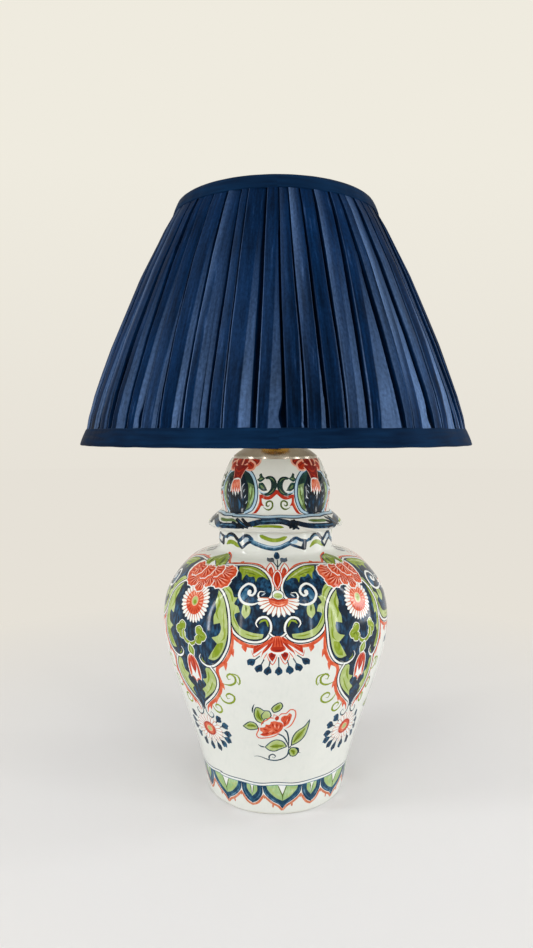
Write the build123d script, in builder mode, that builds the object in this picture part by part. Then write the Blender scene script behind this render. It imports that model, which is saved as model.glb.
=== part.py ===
from build123d import *
from math import cos, pi, radians, sin
import os

# Pottery table lamp: a lidded eight-sided jar, clamped on a threaded tube with a brass lampholder,
# which carries a bulb and an empire shade of gathered silk.
# Millimetres, +Z up, origin at the centre of the jar's foot. The front of the lamp faces -Y.

# Jar, with radii from the centre to a flat side
SIDE_COUNT = 8
FOOT_RADIUS = 62.0
BELLY_RADIUS = 102.5
BELLY_HEIGHT = 163.0
SHOULDER_RISE = 61.0
NECK_RADIUS = 52.0
NECK_HEIGHT = 20.0
JAR_WALL = 6.0
FLOOR_THICKNESS = 8.0
FOOT_RING_WIDTH = 14.0
FOOT_RECESS = 17.0
FOOT_EDGE_FILLET = 1.2

# Corner radius as a share of the radius to a flat side: 1 would be a circle
FOOT_ROUNDNESS = 0.93
BODY_ROUNDNESS = 0.80
NECK_ROUNDNESS = 0.86
LID_ROUNDNESS = 0.82

# Shares of the way up and of the way out or in: foot to belly, then belly to neck
LOWER_CURVE = ((0.10, 0.09), (0.27, 0.24), (0.53, 0.57), (0.69, 0.77), (0.85, 0.94))
UPPER_CURVE = ((0.29, 0.04), (0.52, 0.15), (0.71, 0.32), (0.84, 0.49), (0.93, 0.72))

# Lid
GASKET_THICKNESS = 1.0
FLANGE_RADIUS = 62.0
FLANGE_LIP = 1.4
FLANGE_RISE = 12.5
FLANGE_BULGE = 1.0
DOME_RADIUS = 49.6
DOME_HEIGHT = 47.6
LID_TOP_RADIUS = 39.2
LID_WALL = 6.0
SPIGOT_DEPTH = 12.0
SPIGOT_WALL = 4.0
# Shares of the dome's rise, and of the way from the lid's top radius to the dome's radius
DOME_CURVE = ((0.0, 0.93), (0.3, 1.0), (0.53, 0.92), (0.76, 0.57), (0.9, 0.29), (1.0, 0.0))

# Threaded tube and what it clamps
TUBE_RADIUS = 5.0
TUBE_BORE_RADIUS = 3.8
TUBE_TAIL = 2.5
THREAD_CLEARANCE = 0.05
HOLE_CLEARANCE = 0.4
NUT_FLAT_RADIUS = 7.0
NUT_THICKNESS = 4.0
RUBBER_WASHER_RADIUS = 20.0
RUBBER_WASHER_THICKNESS = 2.0
STEEL_WASHER_RADIUS = 18.0
STEEL_WASHER_THICKNESS = 1.5

# Spun metal cap
CAP_RADIUS = 38.6
CAP_RIM_HEIGHT = 1.8
CAP_HEIGHT = 12.5
CAP_SEAT_RADIUS = 12.0
CAP_WALL = 1.0
# Middle of the cap's curve: shares of the way from its seat to its rim, and from its rim to its top
CAP_CROWN = (0.70, 0.55)

# Cord bush in the back of the foot ring
BUSH_HEIGHT = 8.5
BUSH_RADIUS = 4.5
BUSH_BORE_RADIUS = 3.2
BUSH_FLANGE_RADIUS = 6.5
BUSH_FLANGE_THICKNESS = 1.4
SPOT_FACE_DEPTH = 1.0

# Lampholder
HOLDER_NECK_RADIUS = 8.5
HOLDER_NECK_HEIGHT = 9.0
HOLDER_CUP_RADIUS = 20.0
HOLDER_FLARE = 7.0
HOLDER_CUP_HEIGHT = 9.0
HOLDER_WALL = 1.0
SHELL_HEIGHT = 22.0
SHELL_STEP = 0.6
SKIRT_RADIUS = 19.8
SKIRT_WALL = 1.2
SKIRT_HEIGHT = 21.0
CORE_GAP = 0.2
CORE_FLANGE = 3.0
CORE_FLOOR = 15.0
CORE_RECESS = 1.0
SCREW_SHELL_RADIUS = 14.3
SCREW_SHELL_WALL = 0.7
SCREW_SHELL_LIP = 4.0
SCREW_SHELL_RECESS = 1.0
CONTACT_RADIUS = 4.0
CONTACT_HEIGHT = 3.0
TERMINAL_OFFSET = 9.5
TERMINAL_HEAD_RADIUS = 2.5
TERMINAL_HEAD_HEIGHT = 2.0
TERMINAL_SHANK_RADIUS = 1.5
TERMINAL_SHANK_LENGTH = 6.0
SCREW_SLOT = 0.6
GRUB_RADIUS = 1.5

# Push-bar switch through the lampholder
SWITCH_HEIGHT = 8.0
SWITCH_TRAVEL = 6.0
SWITCH_BAR_RADIUS = 2.0
SWITCH_KNOB_RADIUS = 3.6
SWITCH_KNOB_LENGTH = 6.5
SWITCH_KNOB_SOCKET = 4.0
SWITCH_STOP_GAP = 0.3
SWITCH_GUIDE_CLEARANCE = 0.06

# Shade rings and fitter
RING_RADIUS = 27.0
RING_HEIGHT = 5.0
RING_EDGE_FILLET = 1.0
RING_CLEARANCE = 0.06
FITTER_CLEARANCE = 0.7
FITTER_WIDTH = 5.0
FITTER_THICKNESS = 2.0
FITTER_DROP = 53.6
ARM_COUNT = 3
ARM_RADIUS = 1.6
ARM_WELD_GAP = 0.1

# Shade, with radii and height over the bindings
SHADE_BOTTOM_RADIUS = 175.0
SHADE_TOP_RADIUS = 88.5
SHADE_HEIGHT = 211.7
BOTTOM_BINDING_WIDTH = 11.5
TOP_BINDING_WIDTH = 10.8
BINDING_THICKNESS = 1.0
LAYER_GAP = 0.3
SILK_PRESSED = 1.6
SILK_LEAST = 0.8
WIRE_RADIUS = 1.5
STRUT_COUNT = 6
LINING_THICKNESS = 0.8
ARM_NOTCH_GAP = 0.8
PLEAT_COUNT = 60
PLEAT_TURN = 1.5
# Along the shade between its bindings: share of the way up, pleat crest outside the bindings, pleat depth
PLEAT_SHAPE = ((0.0, 0.6, 1.6), (0.14, 4.0, 4.6), (0.35, 5.9, 6.2), (0.70, 5.2, 5.0), (1.0, 0.5, 1.5))

# Bulb
BULB_RADIUS = 30.0
BULB_LENGTH = 106.0
BULB_GLASS_WALL = 1.0
BULB_CAP_RADIUS = 13.2
BULB_CAP_WALL = 0.4
BULB_CAP_LENGTH = 22.0
BULB_TIP_RADIUS = 4.5
BULB_TIP_HEIGHT = 1.6
BULB_INSULATOR_HEIGHT = 4.0
BULB_TIP_GAP = 0.3
BULB_NECK_GAP = 0.1
BULB_SEAT_DEPTH = 8.0
BULB_FLARE_ANGLE = 35.0

os.makedirs("parts", exist_ok=True)

# Levels, worked out from the foot upwards
shoulder_level = BELLY_HEIGHT + SHOULDER_RISE
rim_level = shoulder_level + NECK_HEIGHT
lid_level = rim_level + GASKET_THICKNESS
dome_level = lid_level + FLANGE_LIP + FLANGE_RISE
lid_top_level = dome_level + DOME_HEIGHT
cap_top_level = lid_top_level + CAP_HEIGHT
holder_level = cap_top_level + NUT_THICKNESS
cup_level = holder_level + HOLDER_NECK_HEIGHT
shell_level = cup_level + HOLDER_FLARE + HOLDER_CUP_HEIGHT
skirt_level = shell_level + SHELL_HEIGHT
skirt_top_level = skirt_level + SKIRT_HEIGHT
core_floor_level = shell_level + CORE_FLOOR
fitter_level = skirt_level + RING_HEIGHT
upper_ring_level = fitter_level + FITTER_THICKNESS
bottom_wire_level = fitter_level + FITTER_THICKNESS / 2 - FITTER_DROP
shade_level = bottom_wire_level - WIRE_RADIUS - LAYER_GAP - BINDING_THICKNESS
shade_top_level = shade_level + SHADE_HEIGHT
top_wire_level = shade_top_level - WIRE_RADIUS - LAYER_GAP - BINDING_THICKNESS
tube_top_level = cup_level

# Radii that several pieces share
corner_angle = 360 / SIDE_COUNT
neck_bore_radius = NECK_RADIUS - JAR_WALL
tube_hole_radius = TUBE_RADIUS + HOLE_CLEARANCE
thread_radius = TUBE_RADIUS + THREAD_CLEARANCE
foot_recess_radius = FOOT_RADIUS - FOOT_RING_WIDTH
shell_radius = HOLDER_CUP_RADIUS + SHELL_STEP
core_radius = SKIRT_RADIUS - SKIRT_WALL - CORE_GAP

# Radial distances of the shade's layers inside the outer face of its bindings
silk_outer_inset = BINDING_THICKNESS + LAYER_GAP
silk_inner_inset = silk_outer_inset + SILK_PRESSED
wire_inset = silk_inner_inset + LAYER_GAP + WIRE_RADIUS
lining_outer_inset = wire_inset + WIRE_RADIUS + LAYER_GAP
lining_inner_inset = lining_outer_inset + LINING_THICKNESS


def shade_radius(level):
    """Radius of the shade's outer cone, over the bindings."""
    share = (level - shade_level) / SHADE_HEIGHT
    return SHADE_BOTTOM_RADIUS + (SHADE_TOP_RADIUS - SHADE_BOTTOM_RADIUS) * share


def side_section(level, radius, roundness, turn=0.0):
    """Rounded eight-sided section at a level, radius to the flats, one flat facing -Y at no turn."""
    with BuildSketch(Plane.XY.offset(level)) as section:
        RegularPolygon(radius, SIDE_COUNT, major_radius=False, rotation=corner_angle / 2 + turn)
        fillet(section.vertices(), roundness * radius)
    return section.sketch


def pleated_section(level, crest_radius, depth):
    """Scalloped section of the silk: an arc for each pleat, meeting in sharp valleys."""
    step = 2 * pi / PLEAT_COUNT
    valley_radius = crest_radius - depth
    with BuildSketch(Plane.XY.offset(level)) as section:
        with BuildLine():
            for index in range(PLEAT_COUNT):
                start, middle, end = index * step, (index + 0.5) * step, (index + 1) * step
                ThreePointArc(
                    (valley_radius * cos(start), valley_radius * sin(start)),
                    (crest_radius * cos(middle), crest_radius * sin(middle)),
                    (valley_radius * cos(end), valley_radius * sin(end)),
                )
        make_face()
    return section.sketch


def wire_plane(start, end, angle):
    """Plane at start, square to the line to end, both (radius, level) and turned about Z."""
    low = Vector(start[0], 0, start[1]).rotate(Axis.Z, angle)
    high = Vector(end[0], 0, end[1]).rotate(Axis.Z, angle)
    return Plane(low, z_dir=high - low)


def between(low, high, share):
    """Value a share of the way from low to high."""
    return low + (high - low) * share


# Jar profile as (radius, level) from the foot to the shoulder
jar_profile = [(FOOT_RADIUS, 0.0)]
jar_profile += [
    (between(FOOT_RADIUS, BELLY_RADIUS, spread), BELLY_HEIGHT * rise) for rise, spread in LOWER_CURVE
]
jar_profile += [(BELLY_RADIUS, BELLY_HEIGHT)]
jar_profile += [
    (between(BELLY_RADIUS, NECK_RADIUS, spread), BELLY_HEIGHT + SHOULDER_RISE * rise)
    for rise, spread in UPPER_CURVE
]
jar_profile += [(NECK_RADIUS, shoulder_level)]
inner_floor_level = FOOT_RECESS + FLOOR_THICKNESS
bush_face = FOOT_RADIUS - SPOT_FACE_DEPTH

# Jar body
with BuildPart() as jar_body:
    jar_sections = []
    for radius, level in jar_profile:
        share = min(1.0, level / BELLY_HEIGHT)
        jar_sections.append(side_section(level, radius, between(FOOT_ROUNDNESS, BODY_ROUNDNESS, share)))
    loft(jar_sections)
    fillet(jar_body.faces().sort_by(Axis.Z)[0].edges(), FOOT_EDGE_FILLET)
    with BuildSketch(Plane.XY.offset(shoulder_level - JAR_WALL)):
        add(side_section(0.0, NECK_RADIUS, NECK_ROUNDNESS))
    extrude(amount=NECK_HEIGHT + JAR_WALL)
    fillet(jar_body.faces().sort_by(Axis.Z)[-1].edges(), JAR_WALL / 4)
    # Foot recess
    with BuildSketch():
        Circle(foot_recess_radius)
    extrude(amount=FOOT_RECESS, mode=Mode.SUBTRACT)
    # Hollow inside, round and smooth
    with BuildSketch(Plane.XZ):
        with BuildLine():
            hollow = [
                (radius - JAR_WALL, level)
                for radius, level in jar_profile[:-2]
                if level > inner_floor_level
            ]
            neck_start = (neck_bore_radius, shoulder_level - JAR_WALL)
            floor_edge = (hollow[0][0] - JAR_WALL, inner_floor_level)
            Spline(floor_edge, *hollow, neck_start)
            Polyline(
                neck_start,
                (neck_bore_radius, rim_level),
                (0, rim_level),
                (0, inner_floor_level),
                floor_edge,
            )
        make_face()
    revolve(axis=Axis.Z, mode=Mode.SUBTRACT)
    # Hole for the tube
    with BuildSketch():
        Circle(tube_hole_radius)
    extrude(amount=inner_floor_level + JAR_WALL, mode=Mode.SUBTRACT)
    # Cord hole with a flat spot face, at the back of the foot ring
    with BuildSketch(Plane.XZ.offset(-foot_recess_radius / 2)):
        with Locations((0, BUSH_HEIGHT)):
            Circle(BUSH_RADIUS + THREAD_CLEARANCE)
    extrude(amount=-FOOT_RADIUS, mode=Mode.SUBTRACT)
    with BuildSketch(Plane.XZ.offset(-bush_face)):
        with Locations((0, BUSH_HEIGHT)):
            Circle(BUSH_FLANGE_RADIUS + HOLE_CLEARANCE)
    extrude(amount=-FOOT_RADIUS, mode=Mode.SUBTRACT)
jar_body.part.label = "jar_body"
export_step(jar_body.part, "parts/jar_body.step")

# Bush in the cord hole
with BuildPart() as cord_grommet:
    with BuildSketch(Plane.XZ.offset(-foot_recess_radius)):
        with Locations((0, BUSH_HEIGHT)):
            Circle(BUSH_RADIUS)
            Circle(BUSH_BORE_RADIUS, mode=Mode.SUBTRACT)
    extrude(amount=-(bush_face - foot_recess_radius))
    with BuildSketch(Plane.XZ.offset(-bush_face)):
        with Locations((0, BUSH_HEIGHT)):
            Circle(BUSH_FLANGE_RADIUS)
            Circle(BUSH_BORE_RADIUS, mode=Mode.SUBTRACT)
    extrude(amount=-BUSH_FLANGE_THICKNESS)
cord_grommet.part.label = "cord_grommet"
export_step(cord_grommet.part, "parts/cord_grommet.step")

# Gasket between the jar's rim and the lid
with BuildPart() as lid_gasket:
    with BuildSketch(Plane.XY.offset(rim_level)):
        Circle(NECK_RADIUS - JAR_WALL / 4)
        Circle(neck_bore_radius, mode=Mode.SUBTRACT)
    extrude(amount=GASKET_THICKNESS)
lid_gasket.part.label = "lid_gasket"
export_step(lid_gasket.part, "parts/lid_gasket.step")

# Lid: flange, dome, spigot inside the neck and a flat top with a hole
lid_turn = corner_angle / 2
dome_foot_radius = between(LID_TOP_RADIUS, DOME_RADIUS, DOME_CURVE[0][1])
lip_level = lid_level + FLANGE_LIP
spigot_radius = neck_bore_radius - HOLE_CLEARANCE
with BuildPart() as jar_lid:
    loft([
        side_section(lid_level, FLANGE_RADIUS - FLANGE_LIP, LID_ROUNDNESS, lid_turn),
        side_section(lip_level, FLANGE_RADIUS, LID_ROUNDNESS, lid_turn),
    ])
    middle_radius = (FLANGE_RADIUS + dome_foot_radius) / 2 + FLANGE_BULGE
    loft([
        side_section(lip_level, FLANGE_RADIUS, LID_ROUNDNESS, lid_turn),
        side_section(lip_level + FLANGE_RISE / 2, middle_radius, LID_ROUNDNESS, lid_turn),
        side_section(dome_level, dome_foot_radius, LID_ROUNDNESS, lid_turn),
    ])
    loft([
        side_section(
            dome_level + DOME_HEIGHT * rise,
            between(LID_TOP_RADIUS, DOME_RADIUS, spread),
            LID_ROUNDNESS,
            lid_turn,
        )
        for rise, spread in DOME_CURVE
    ])
    with BuildSketch(Plane.XY.offset(lid_level)):
        Circle(spigot_radius)
    extrude(amount=-SPIGOT_DEPTH)
    # Hollow inside
    hollow_radius = spigot_radius - SPIGOT_WALL
    hollow_top_radius = LID_TOP_RADIUS - 2 * LID_WALL
    with BuildSketch(Plane.XZ):
        with BuildLine():
            side_top = (hollow_radius, dome_level + DOME_HEIGHT / 2)
            top_edge = (hollow_top_radius, lid_top_level - LID_WALL)
            start = (hollow_radius, lid_level - SPIGOT_DEPTH)
            Line(start, side_top)
            Line(side_top, top_edge)
            Polyline(top_edge, (0, lid_top_level - LID_WALL), (0, lid_level - SPIGOT_DEPTH), start)
        make_face()
    revolve(axis=Axis.Z, mode=Mode.SUBTRACT)
    with BuildSketch(Plane.XY.offset(lid_top_level)):
        Circle(tube_hole_radius)
    extrude(amount=-2 * LID_WALL, mode=Mode.SUBTRACT)
jar_lid.part.label = "jar_lid"
export_step(jar_lid.part, "parts/jar_lid.step")

# Washers, nut and tube that clamp the jar, the lid and the cap together
rubber_level = FOOT_RECESS - RUBBER_WASHER_THICKNESS
steel_level = rubber_level - STEEL_WASHER_THICKNESS
foot_nut_level = steel_level - NUT_THICKNESS
with BuildPart() as foot_rubber_washer:
    with BuildSketch(Plane.XY.offset(rubber_level)):
        Circle(RUBBER_WASHER_RADIUS)
        Circle(tube_hole_radius, mode=Mode.SUBTRACT)
    extrude(amount=RUBBER_WASHER_THICKNESS)
foot_rubber_washer.part.label = "foot_rubber_washer"
export_step(foot_rubber_washer.part, "parts/foot_rubber_washer.step")

with BuildPart() as foot_steel_washer:
    with BuildSketch(Plane.XY.offset(steel_level)):
        Circle(STEEL_WASHER_RADIUS)
        Circle(tube_hole_radius, mode=Mode.SUBTRACT)
    extrude(amount=STEEL_WASHER_THICKNESS)
foot_steel_washer.part.label = "foot_steel_washer"
export_step(foot_steel_washer.part, "parts/foot_steel_washer.step")

with BuildPart() as foot_nut:
    with BuildSketch(Plane.XY.offset(foot_nut_level)):
        RegularPolygon(NUT_FLAT_RADIUS, 6, major_radius=False)
        Circle(thread_radius, mode=Mode.SUBTRACT)
    extrude(amount=NUT_THICKNESS)
foot_nut.part.label = "foot_nut"
export_step(foot_nut.part, "parts/foot_nut.step")

tube_foot_level = foot_nut_level - TUBE_TAIL
with BuildPart() as stem_tube:
    with BuildSketch(Plane.XY.offset(tube_foot_level)):
        Circle(TUBE_RADIUS)
        Circle(TUBE_BORE_RADIUS, mode=Mode.SUBTRACT)
    extrude(amount=tube_top_level - tube_foot_level)
stem_tube.part.label = "stem_tube"
export_step(stem_tube.part, "parts/stem_tube.step")

# Spun cap: upright rim, domed top, flat seat for its nut
with BuildPart() as vase_cap:
    with BuildSketch(Plane.XZ):
        with BuildLine():
            rim_top = (CAP_RADIUS, lid_top_level + CAP_RIM_HEIGHT)
            seat_edge = (CAP_SEAT_RADIUS, cap_top_level)
            crown = (
                between(CAP_SEAT_RADIUS, CAP_RADIUS, CAP_CROWN[0]),
                between(lid_top_level + CAP_RIM_HEIGHT, cap_top_level, CAP_CROWN[1]),
            )
            inner_rim_top = (CAP_RADIUS - CAP_WALL, lid_top_level + CAP_RIM_HEIGHT)
            inner_seat_edge = (CAP_SEAT_RADIUS, cap_top_level - CAP_WALL)
            inner_crown = (crown[0] - CAP_WALL / 2, crown[1] - CAP_WALL)
            inner_rim = (CAP_RADIUS - CAP_WALL, lid_top_level)
            ThreePointArc(rim_top, crown, seat_edge)
            Polyline(
                seat_edge,
                (tube_hole_radius, cap_top_level),
                (tube_hole_radius, cap_top_level - CAP_WALL),
                inner_seat_edge,
            )
            ThreePointArc(inner_seat_edge, inner_crown, inner_rim_top)
            Polyline(inner_rim_top, inner_rim, (CAP_RADIUS, lid_top_level), rim_top)
        make_face()
    revolve(axis=Axis.Z)
vase_cap.part.label = "vase_cap"
export_step(vase_cap.part, "parts/vase_cap.step")

with BuildPart() as cap_nut:
    with BuildSketch(Plane.XY.offset(cap_top_level)):
        RegularPolygon(NUT_FLAT_RADIUS, 6, major_radius=False)
        Circle(thread_radius, mode=Mode.SUBTRACT)
    extrude(amount=NUT_THICKNESS)
cap_nut.part.label = "cap_nut"
export_step(cap_nut.part, "parts/cap_nut.step")

# Lower cup of the lampholder, threaded on the tube
cup_side_level = cup_level + HOLDER_FLARE
grub_level = holder_level + HOLDER_NECK_HEIGHT / 2
with BuildPart() as holder_base:
    with BuildSketch(Plane.XZ):
        with BuildLine():
            inner_cup_radius = HOLDER_CUP_RADIUS - HOLDER_WALL
            Polyline(
                (thread_radius, holder_level),
                (HOLDER_NECK_RADIUS, holder_level),
                (HOLDER_NECK_RADIUS, cup_level),
                (HOLDER_CUP_RADIUS, cup_side_level),
                (HOLDER_CUP_RADIUS, shell_level),
                (inner_cup_radius, shell_level),
                (inner_cup_radius, cup_side_level + HOLDER_WALL / 2),
                (HOLDER_NECK_RADIUS, cup_level + HOLDER_WALL),
                (thread_radius, cup_level + HOLDER_WALL),
                close=True,
            )
        make_face()
    revolve(axis=Axis.Z)
    with BuildSketch(Plane.YZ):
        with Locations((0, grub_level)):
            Circle(GRUB_RADIUS + THREAD_CLEARANCE)
    extrude(amount=HOLDER_CUP_RADIUS, mode=Mode.SUBTRACT)
holder_base.part.label = "holder_base"
export_step(holder_base.part, "parts/holder_base.step")

with BuildPart() as holder_grub_screw:
    with BuildSketch(Plane.YZ.offset(thread_radius)):
        with Locations((0, grub_level)):
            Circle(GRUB_RADIUS)
    extrude(amount=HOLDER_NECK_RADIUS - thread_radius)
    with BuildSketch(Plane.YZ.offset(HOLDER_NECK_RADIUS)):
        with Locations((0, grub_level)):
            Rectangle(SCREW_SLOT, 2 * GRUB_RADIUS)
    extrude(amount=-GRUB_RADIUS / 2, mode=Mode.SUBTRACT)
holder_grub_screw.part.label = "holder_grub_screw"
export_step(holder_grub_screw.part, "parts/holder_grub_screw.step")

# Upper shell of the lampholder with its threaded skirt, bored for the switch bar
switch_level = shell_level + SWITCH_HEIGHT
guide_radius = SWITCH_BAR_RADIUS + SWITCH_GUIDE_CLEARANCE
with BuildPart() as holder_body:
    with BuildSketch(Plane.XZ):
        with BuildLine():
            Polyline(
                (shell_radius - HOLDER_WALL, shell_level),
                (shell_radius, shell_level),
                (shell_radius, skirt_level),
                (SKIRT_RADIUS, skirt_level),
                (SKIRT_RADIUS, skirt_top_level),
                (SKIRT_RADIUS - SKIRT_WALL, skirt_top_level),
                (SKIRT_RADIUS - SKIRT_WALL, skirt_level - HOLDER_WALL),
                (shell_radius - HOLDER_WALL, skirt_level - HOLDER_WALL),
                close=True,
            )
        make_face()
    revolve(axis=Axis.Z)
    with BuildSketch(Plane.XZ):
        with Locations((0, switch_level)):
            Circle(guide_radius)
    extrude(amount=2 * shell_radius, both=True, mode=Mode.SUBTRACT)
holder_body.part.label = "holder_body"
export_step(holder_body.part, "parts/holder_body.step")

# Porcelain core: flange clamped between cup and shell, well for the screw shell
core_top_level = skirt_top_level - CORE_RECESS
core_flange_radius = shell_radius - HOLDER_WALL - CORE_GAP
with BuildPart() as holder_core:
    with BuildSketch(Plane.XY.offset(shell_level)):
        Circle(core_flange_radius)
    extrude(amount=CORE_FLANGE)
    with BuildSketch(Plane.XY.offset(shell_level)):
        Circle(core_radius)
    extrude(amount=core_top_level - shell_level)
    with BuildSketch(Plane.XY.offset(core_floor_level)):
        Circle(SCREW_SHELL_RADIUS + THREAD_CLEARANCE)
    extrude(amount=core_top_level - core_floor_level, mode=Mode.SUBTRACT)
    with BuildSketch(Plane.XZ):
        with Locations((0, switch_level)):
            Circle(guide_radius + CORE_GAP)
    extrude(amount=2 * shell_radius, both=True, mode=Mode.SUBTRACT)
    with BuildSketch(Plane.XY.offset(shell_level)):
        with Locations((-TERMINAL_OFFSET, 0), (TERMINAL_OFFSET, 0)):
            Circle(TERMINAL_SHANK_RADIUS + THREAD_CLEARANCE)
    extrude(amount=TERMINAL_SHANK_LENGTH + CORE_GAP, mode=Mode.SUBTRACT)
holder_core.part.label = "holder_core"
export_step(holder_core.part, "parts/holder_core.step")

with BuildPart() as screw_shell:
    with BuildSketch(Plane.XY.offset(core_floor_level)):
        Circle(SCREW_SHELL_RADIUS)
        Circle(SCREW_SHELL_RADIUS - SCREW_SHELL_LIP, mode=Mode.SUBTRACT)
    extrude(amount=SCREW_SHELL_WALL)
    with BuildSketch(Plane.XY.offset(core_floor_level)):
        Circle(SCREW_SHELL_RADIUS)
        Circle(SCREW_SHELL_RADIUS - SCREW_SHELL_WALL, mode=Mode.SUBTRACT)
    extrude(amount=core_top_level - SCREW_SHELL_RECESS - core_floor_level)
screw_shell.part.label = "screw_shell"
export_step(screw_shell.part, "parts/screw_shell.step")

with BuildPart() as centre_contact:
    with BuildSketch(Plane.XY.offset(core_floor_level)):
        Circle(CONTACT_RADIUS)
    extrude(amount=CONTACT_HEIGHT)
    fillet(centre_contact.faces().sort_by(Axis.Z)[-1].edges(), CONTACT_HEIGHT / 4)
centre_contact.part.label = "centre_contact"
export_step(centre_contact.part, "parts/centre_contact.step")

# Two terminal screws under the core
with BuildPart() as terminal_screws:
    with BuildSketch(Plane.XY.offset(shell_level - TERMINAL_HEAD_HEIGHT)):
        with Locations((-TERMINAL_OFFSET, 0), (TERMINAL_OFFSET, 0)):
            Circle(TERMINAL_HEAD_RADIUS)
    extrude(amount=TERMINAL_HEAD_HEIGHT)
    with BuildSketch(Plane.XY.offset(shell_level)):
        with Locations((-TERMINAL_OFFSET, 0), (TERMINAL_OFFSET, 0)):
            Circle(TERMINAL_SHANK_RADIUS)
    extrude(amount=TERMINAL_SHANK_LENGTH)
    with BuildSketch(Plane.XY.offset(shell_level - TERMINAL_HEAD_HEIGHT)):
        with Locations((-TERMINAL_OFFSET, 0), (TERMINAL_OFFSET, 0)):
            Rectangle(2 * TERMINAL_HEAD_RADIUS, SCREW_SLOT)
    extrude(amount=TERMINAL_HEAD_HEIGHT / 2, mode=Mode.SUBTRACT)
terminal_screws.part.label = "terminal_screws"
export_step(terminal_screws.part, "parts/terminal_screws.step")

# Push bar along Y, at rest pulled out to the front, with a knob on each end
front_knob_face = shell_radius + SWITCH_STOP_GAP + SWITCH_TRAVEL
back_knob_face = shell_radius + SWITCH_STOP_GAP
with BuildPart() as switch_bar:
    with BuildSketch(Plane.XZ.offset(front_knob_face + SWITCH_KNOB_SOCKET)):
        with Locations((0, switch_level)):
            Circle(SWITCH_BAR_RADIUS)
    extrude(amount=-(front_knob_face + back_knob_face + 2 * SWITCH_KNOB_SOCKET))
switch_bar.part.label = "switch_bar"
export_step(switch_bar.part, "parts/switch_bar.step")

with BuildPart() as switch_knobs:
    with BuildSketch(Plane.XZ.offset(front_knob_face)):
        with Locations((0, switch_level)):
            Circle(SWITCH_KNOB_RADIUS)
    extrude(amount=SWITCH_KNOB_LENGTH)
    with BuildSketch(Plane.XZ.offset(-back_knob_face)):
        with Locations((0, switch_level)):
            Circle(SWITCH_KNOB_RADIUS)
    extrude(amount=-SWITCH_KNOB_LENGTH)
    knob_ends = switch_knobs.faces().filter_by(Axis.Y).sort_by(Axis.Y)
    fillet(knob_ends[0].edges() + knob_ends[-1].edges(), SWITCH_KNOB_RADIUS / 3)
    with BuildSketch(Plane.XZ.offset(front_knob_face + SWITCH_KNOB_SOCKET)):
        with Locations((0, switch_level)):
            Circle(SWITCH_BAR_RADIUS + THREAD_CLEARANCE)
    extrude(amount=-(front_knob_face + back_knob_face + 2 * SWITCH_KNOB_SOCKET), mode=Mode.SUBTRACT)
switch_knobs.part.label = "switch_knobs"
export_step(switch_knobs.part, "parts/switch_knobs.step")

# Threaded shade rings: the lower one on the shell's shoulder, the upper one on the fitter
with BuildPart() as lower_shade_ring:
    with BuildSketch(Plane.XY.offset(skirt_level)):
        Circle(RING_RADIUS)
        Circle(SKIRT_RADIUS + RING_CLEARANCE, mode=Mode.SUBTRACT)
    extrude(amount=RING_HEIGHT)
    lower_edges = lower_shade_ring.edges().filter_by(GeomType.CIRCLE).group_by(Axis.Z)[0]
    fillet(lower_edges.sort_by(SortBy.RADIUS)[-1], RING_EDGE_FILLET)
lower_shade_ring.part.label = "lower_shade_ring"
export_step(lower_shade_ring.part, "parts/lower_shade_ring.step")

with BuildPart() as upper_shade_ring:
    with BuildSketch(Plane.XY.offset(upper_ring_level)):
        Circle(RING_RADIUS)
        Circle(SKIRT_RADIUS + RING_CLEARANCE, mode=Mode.SUBTRACT)
    extrude(amount=RING_HEIGHT)
    upper_edges = upper_shade_ring.edges().filter_by(GeomType.CIRCLE).group_by(Axis.Z)[-1]
    fillet(upper_edges.sort_by(SortBy.RADIUS)[-1], RING_EDGE_FILLET)
upper_shade_ring.part.label = "upper_shade_ring"
export_step(upper_shade_ring.part, "parts/upper_shade_ring.step")

# Fitter: flat ring clamped between the shade rings, arms down to the bottom wire
fitter_bore_radius = SKIRT_RADIUS + FITTER_CLEARANCE
fitter_radius = RING_RADIUS + FITTER_WIDTH
with BuildPart() as fitter_ring:
    with BuildSketch(Plane.XY.offset(fitter_level)):
        Circle(fitter_radius)
        Circle(fitter_bore_radius, mode=Mode.SUBTRACT)
    extrude(amount=FITTER_THICKNESS)
fitter_ring.part.label = "fitter_ring"
export_step(fitter_ring.part, "parts/fitter_ring.step")

# Wire frame of the shade
bottom_wire_radius = shade_radius(bottom_wire_level) - wire_inset
top_wire_radius = shade_radius(top_wire_level) - wire_inset
with BuildPart() as shade_bottom_ring:
    with BuildSketch(Plane.XZ):
        with Locations((bottom_wire_radius, bottom_wire_level)):
            Circle(WIRE_RADIUS)
    revolve(axis=Axis.Z)
shade_bottom_ring.part.label = "shade_bottom_ring"
export_step(shade_bottom_ring.part, "parts/shade_bottom_ring.step")

with BuildPart() as shade_top_ring:
    with BuildSketch(Plane.XZ):
        with Locations((top_wire_radius, top_wire_level)):
            Circle(WIRE_RADIUS)
    revolve(axis=Axis.Z)
shade_top_ring.part.label = "shade_top_ring"
export_step(shade_top_ring.part, "parts/shade_top_ring.step")

wire_run = (top_wire_radius - bottom_wire_radius, top_wire_level - bottom_wire_level)
strut_length = Vector(*wire_run).length - 2 * WIRE_RADIUS
with BuildPart() as shade_struts:
    for index in range(STRUT_COUNT):
        strut_plane = wire_plane(
            (bottom_wire_radius, bottom_wire_level),
            (top_wire_radius, top_wire_level),
            index * 360 / STRUT_COUNT,
        )
        with BuildSketch(strut_plane.offset(WIRE_RADIUS)):
            Circle(WIRE_RADIUS)
        extrude(amount=strut_length)
shade_struts.part.label = "shade_struts"
export_step(shade_struts.part, "parts/shade_struts.step")

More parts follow.
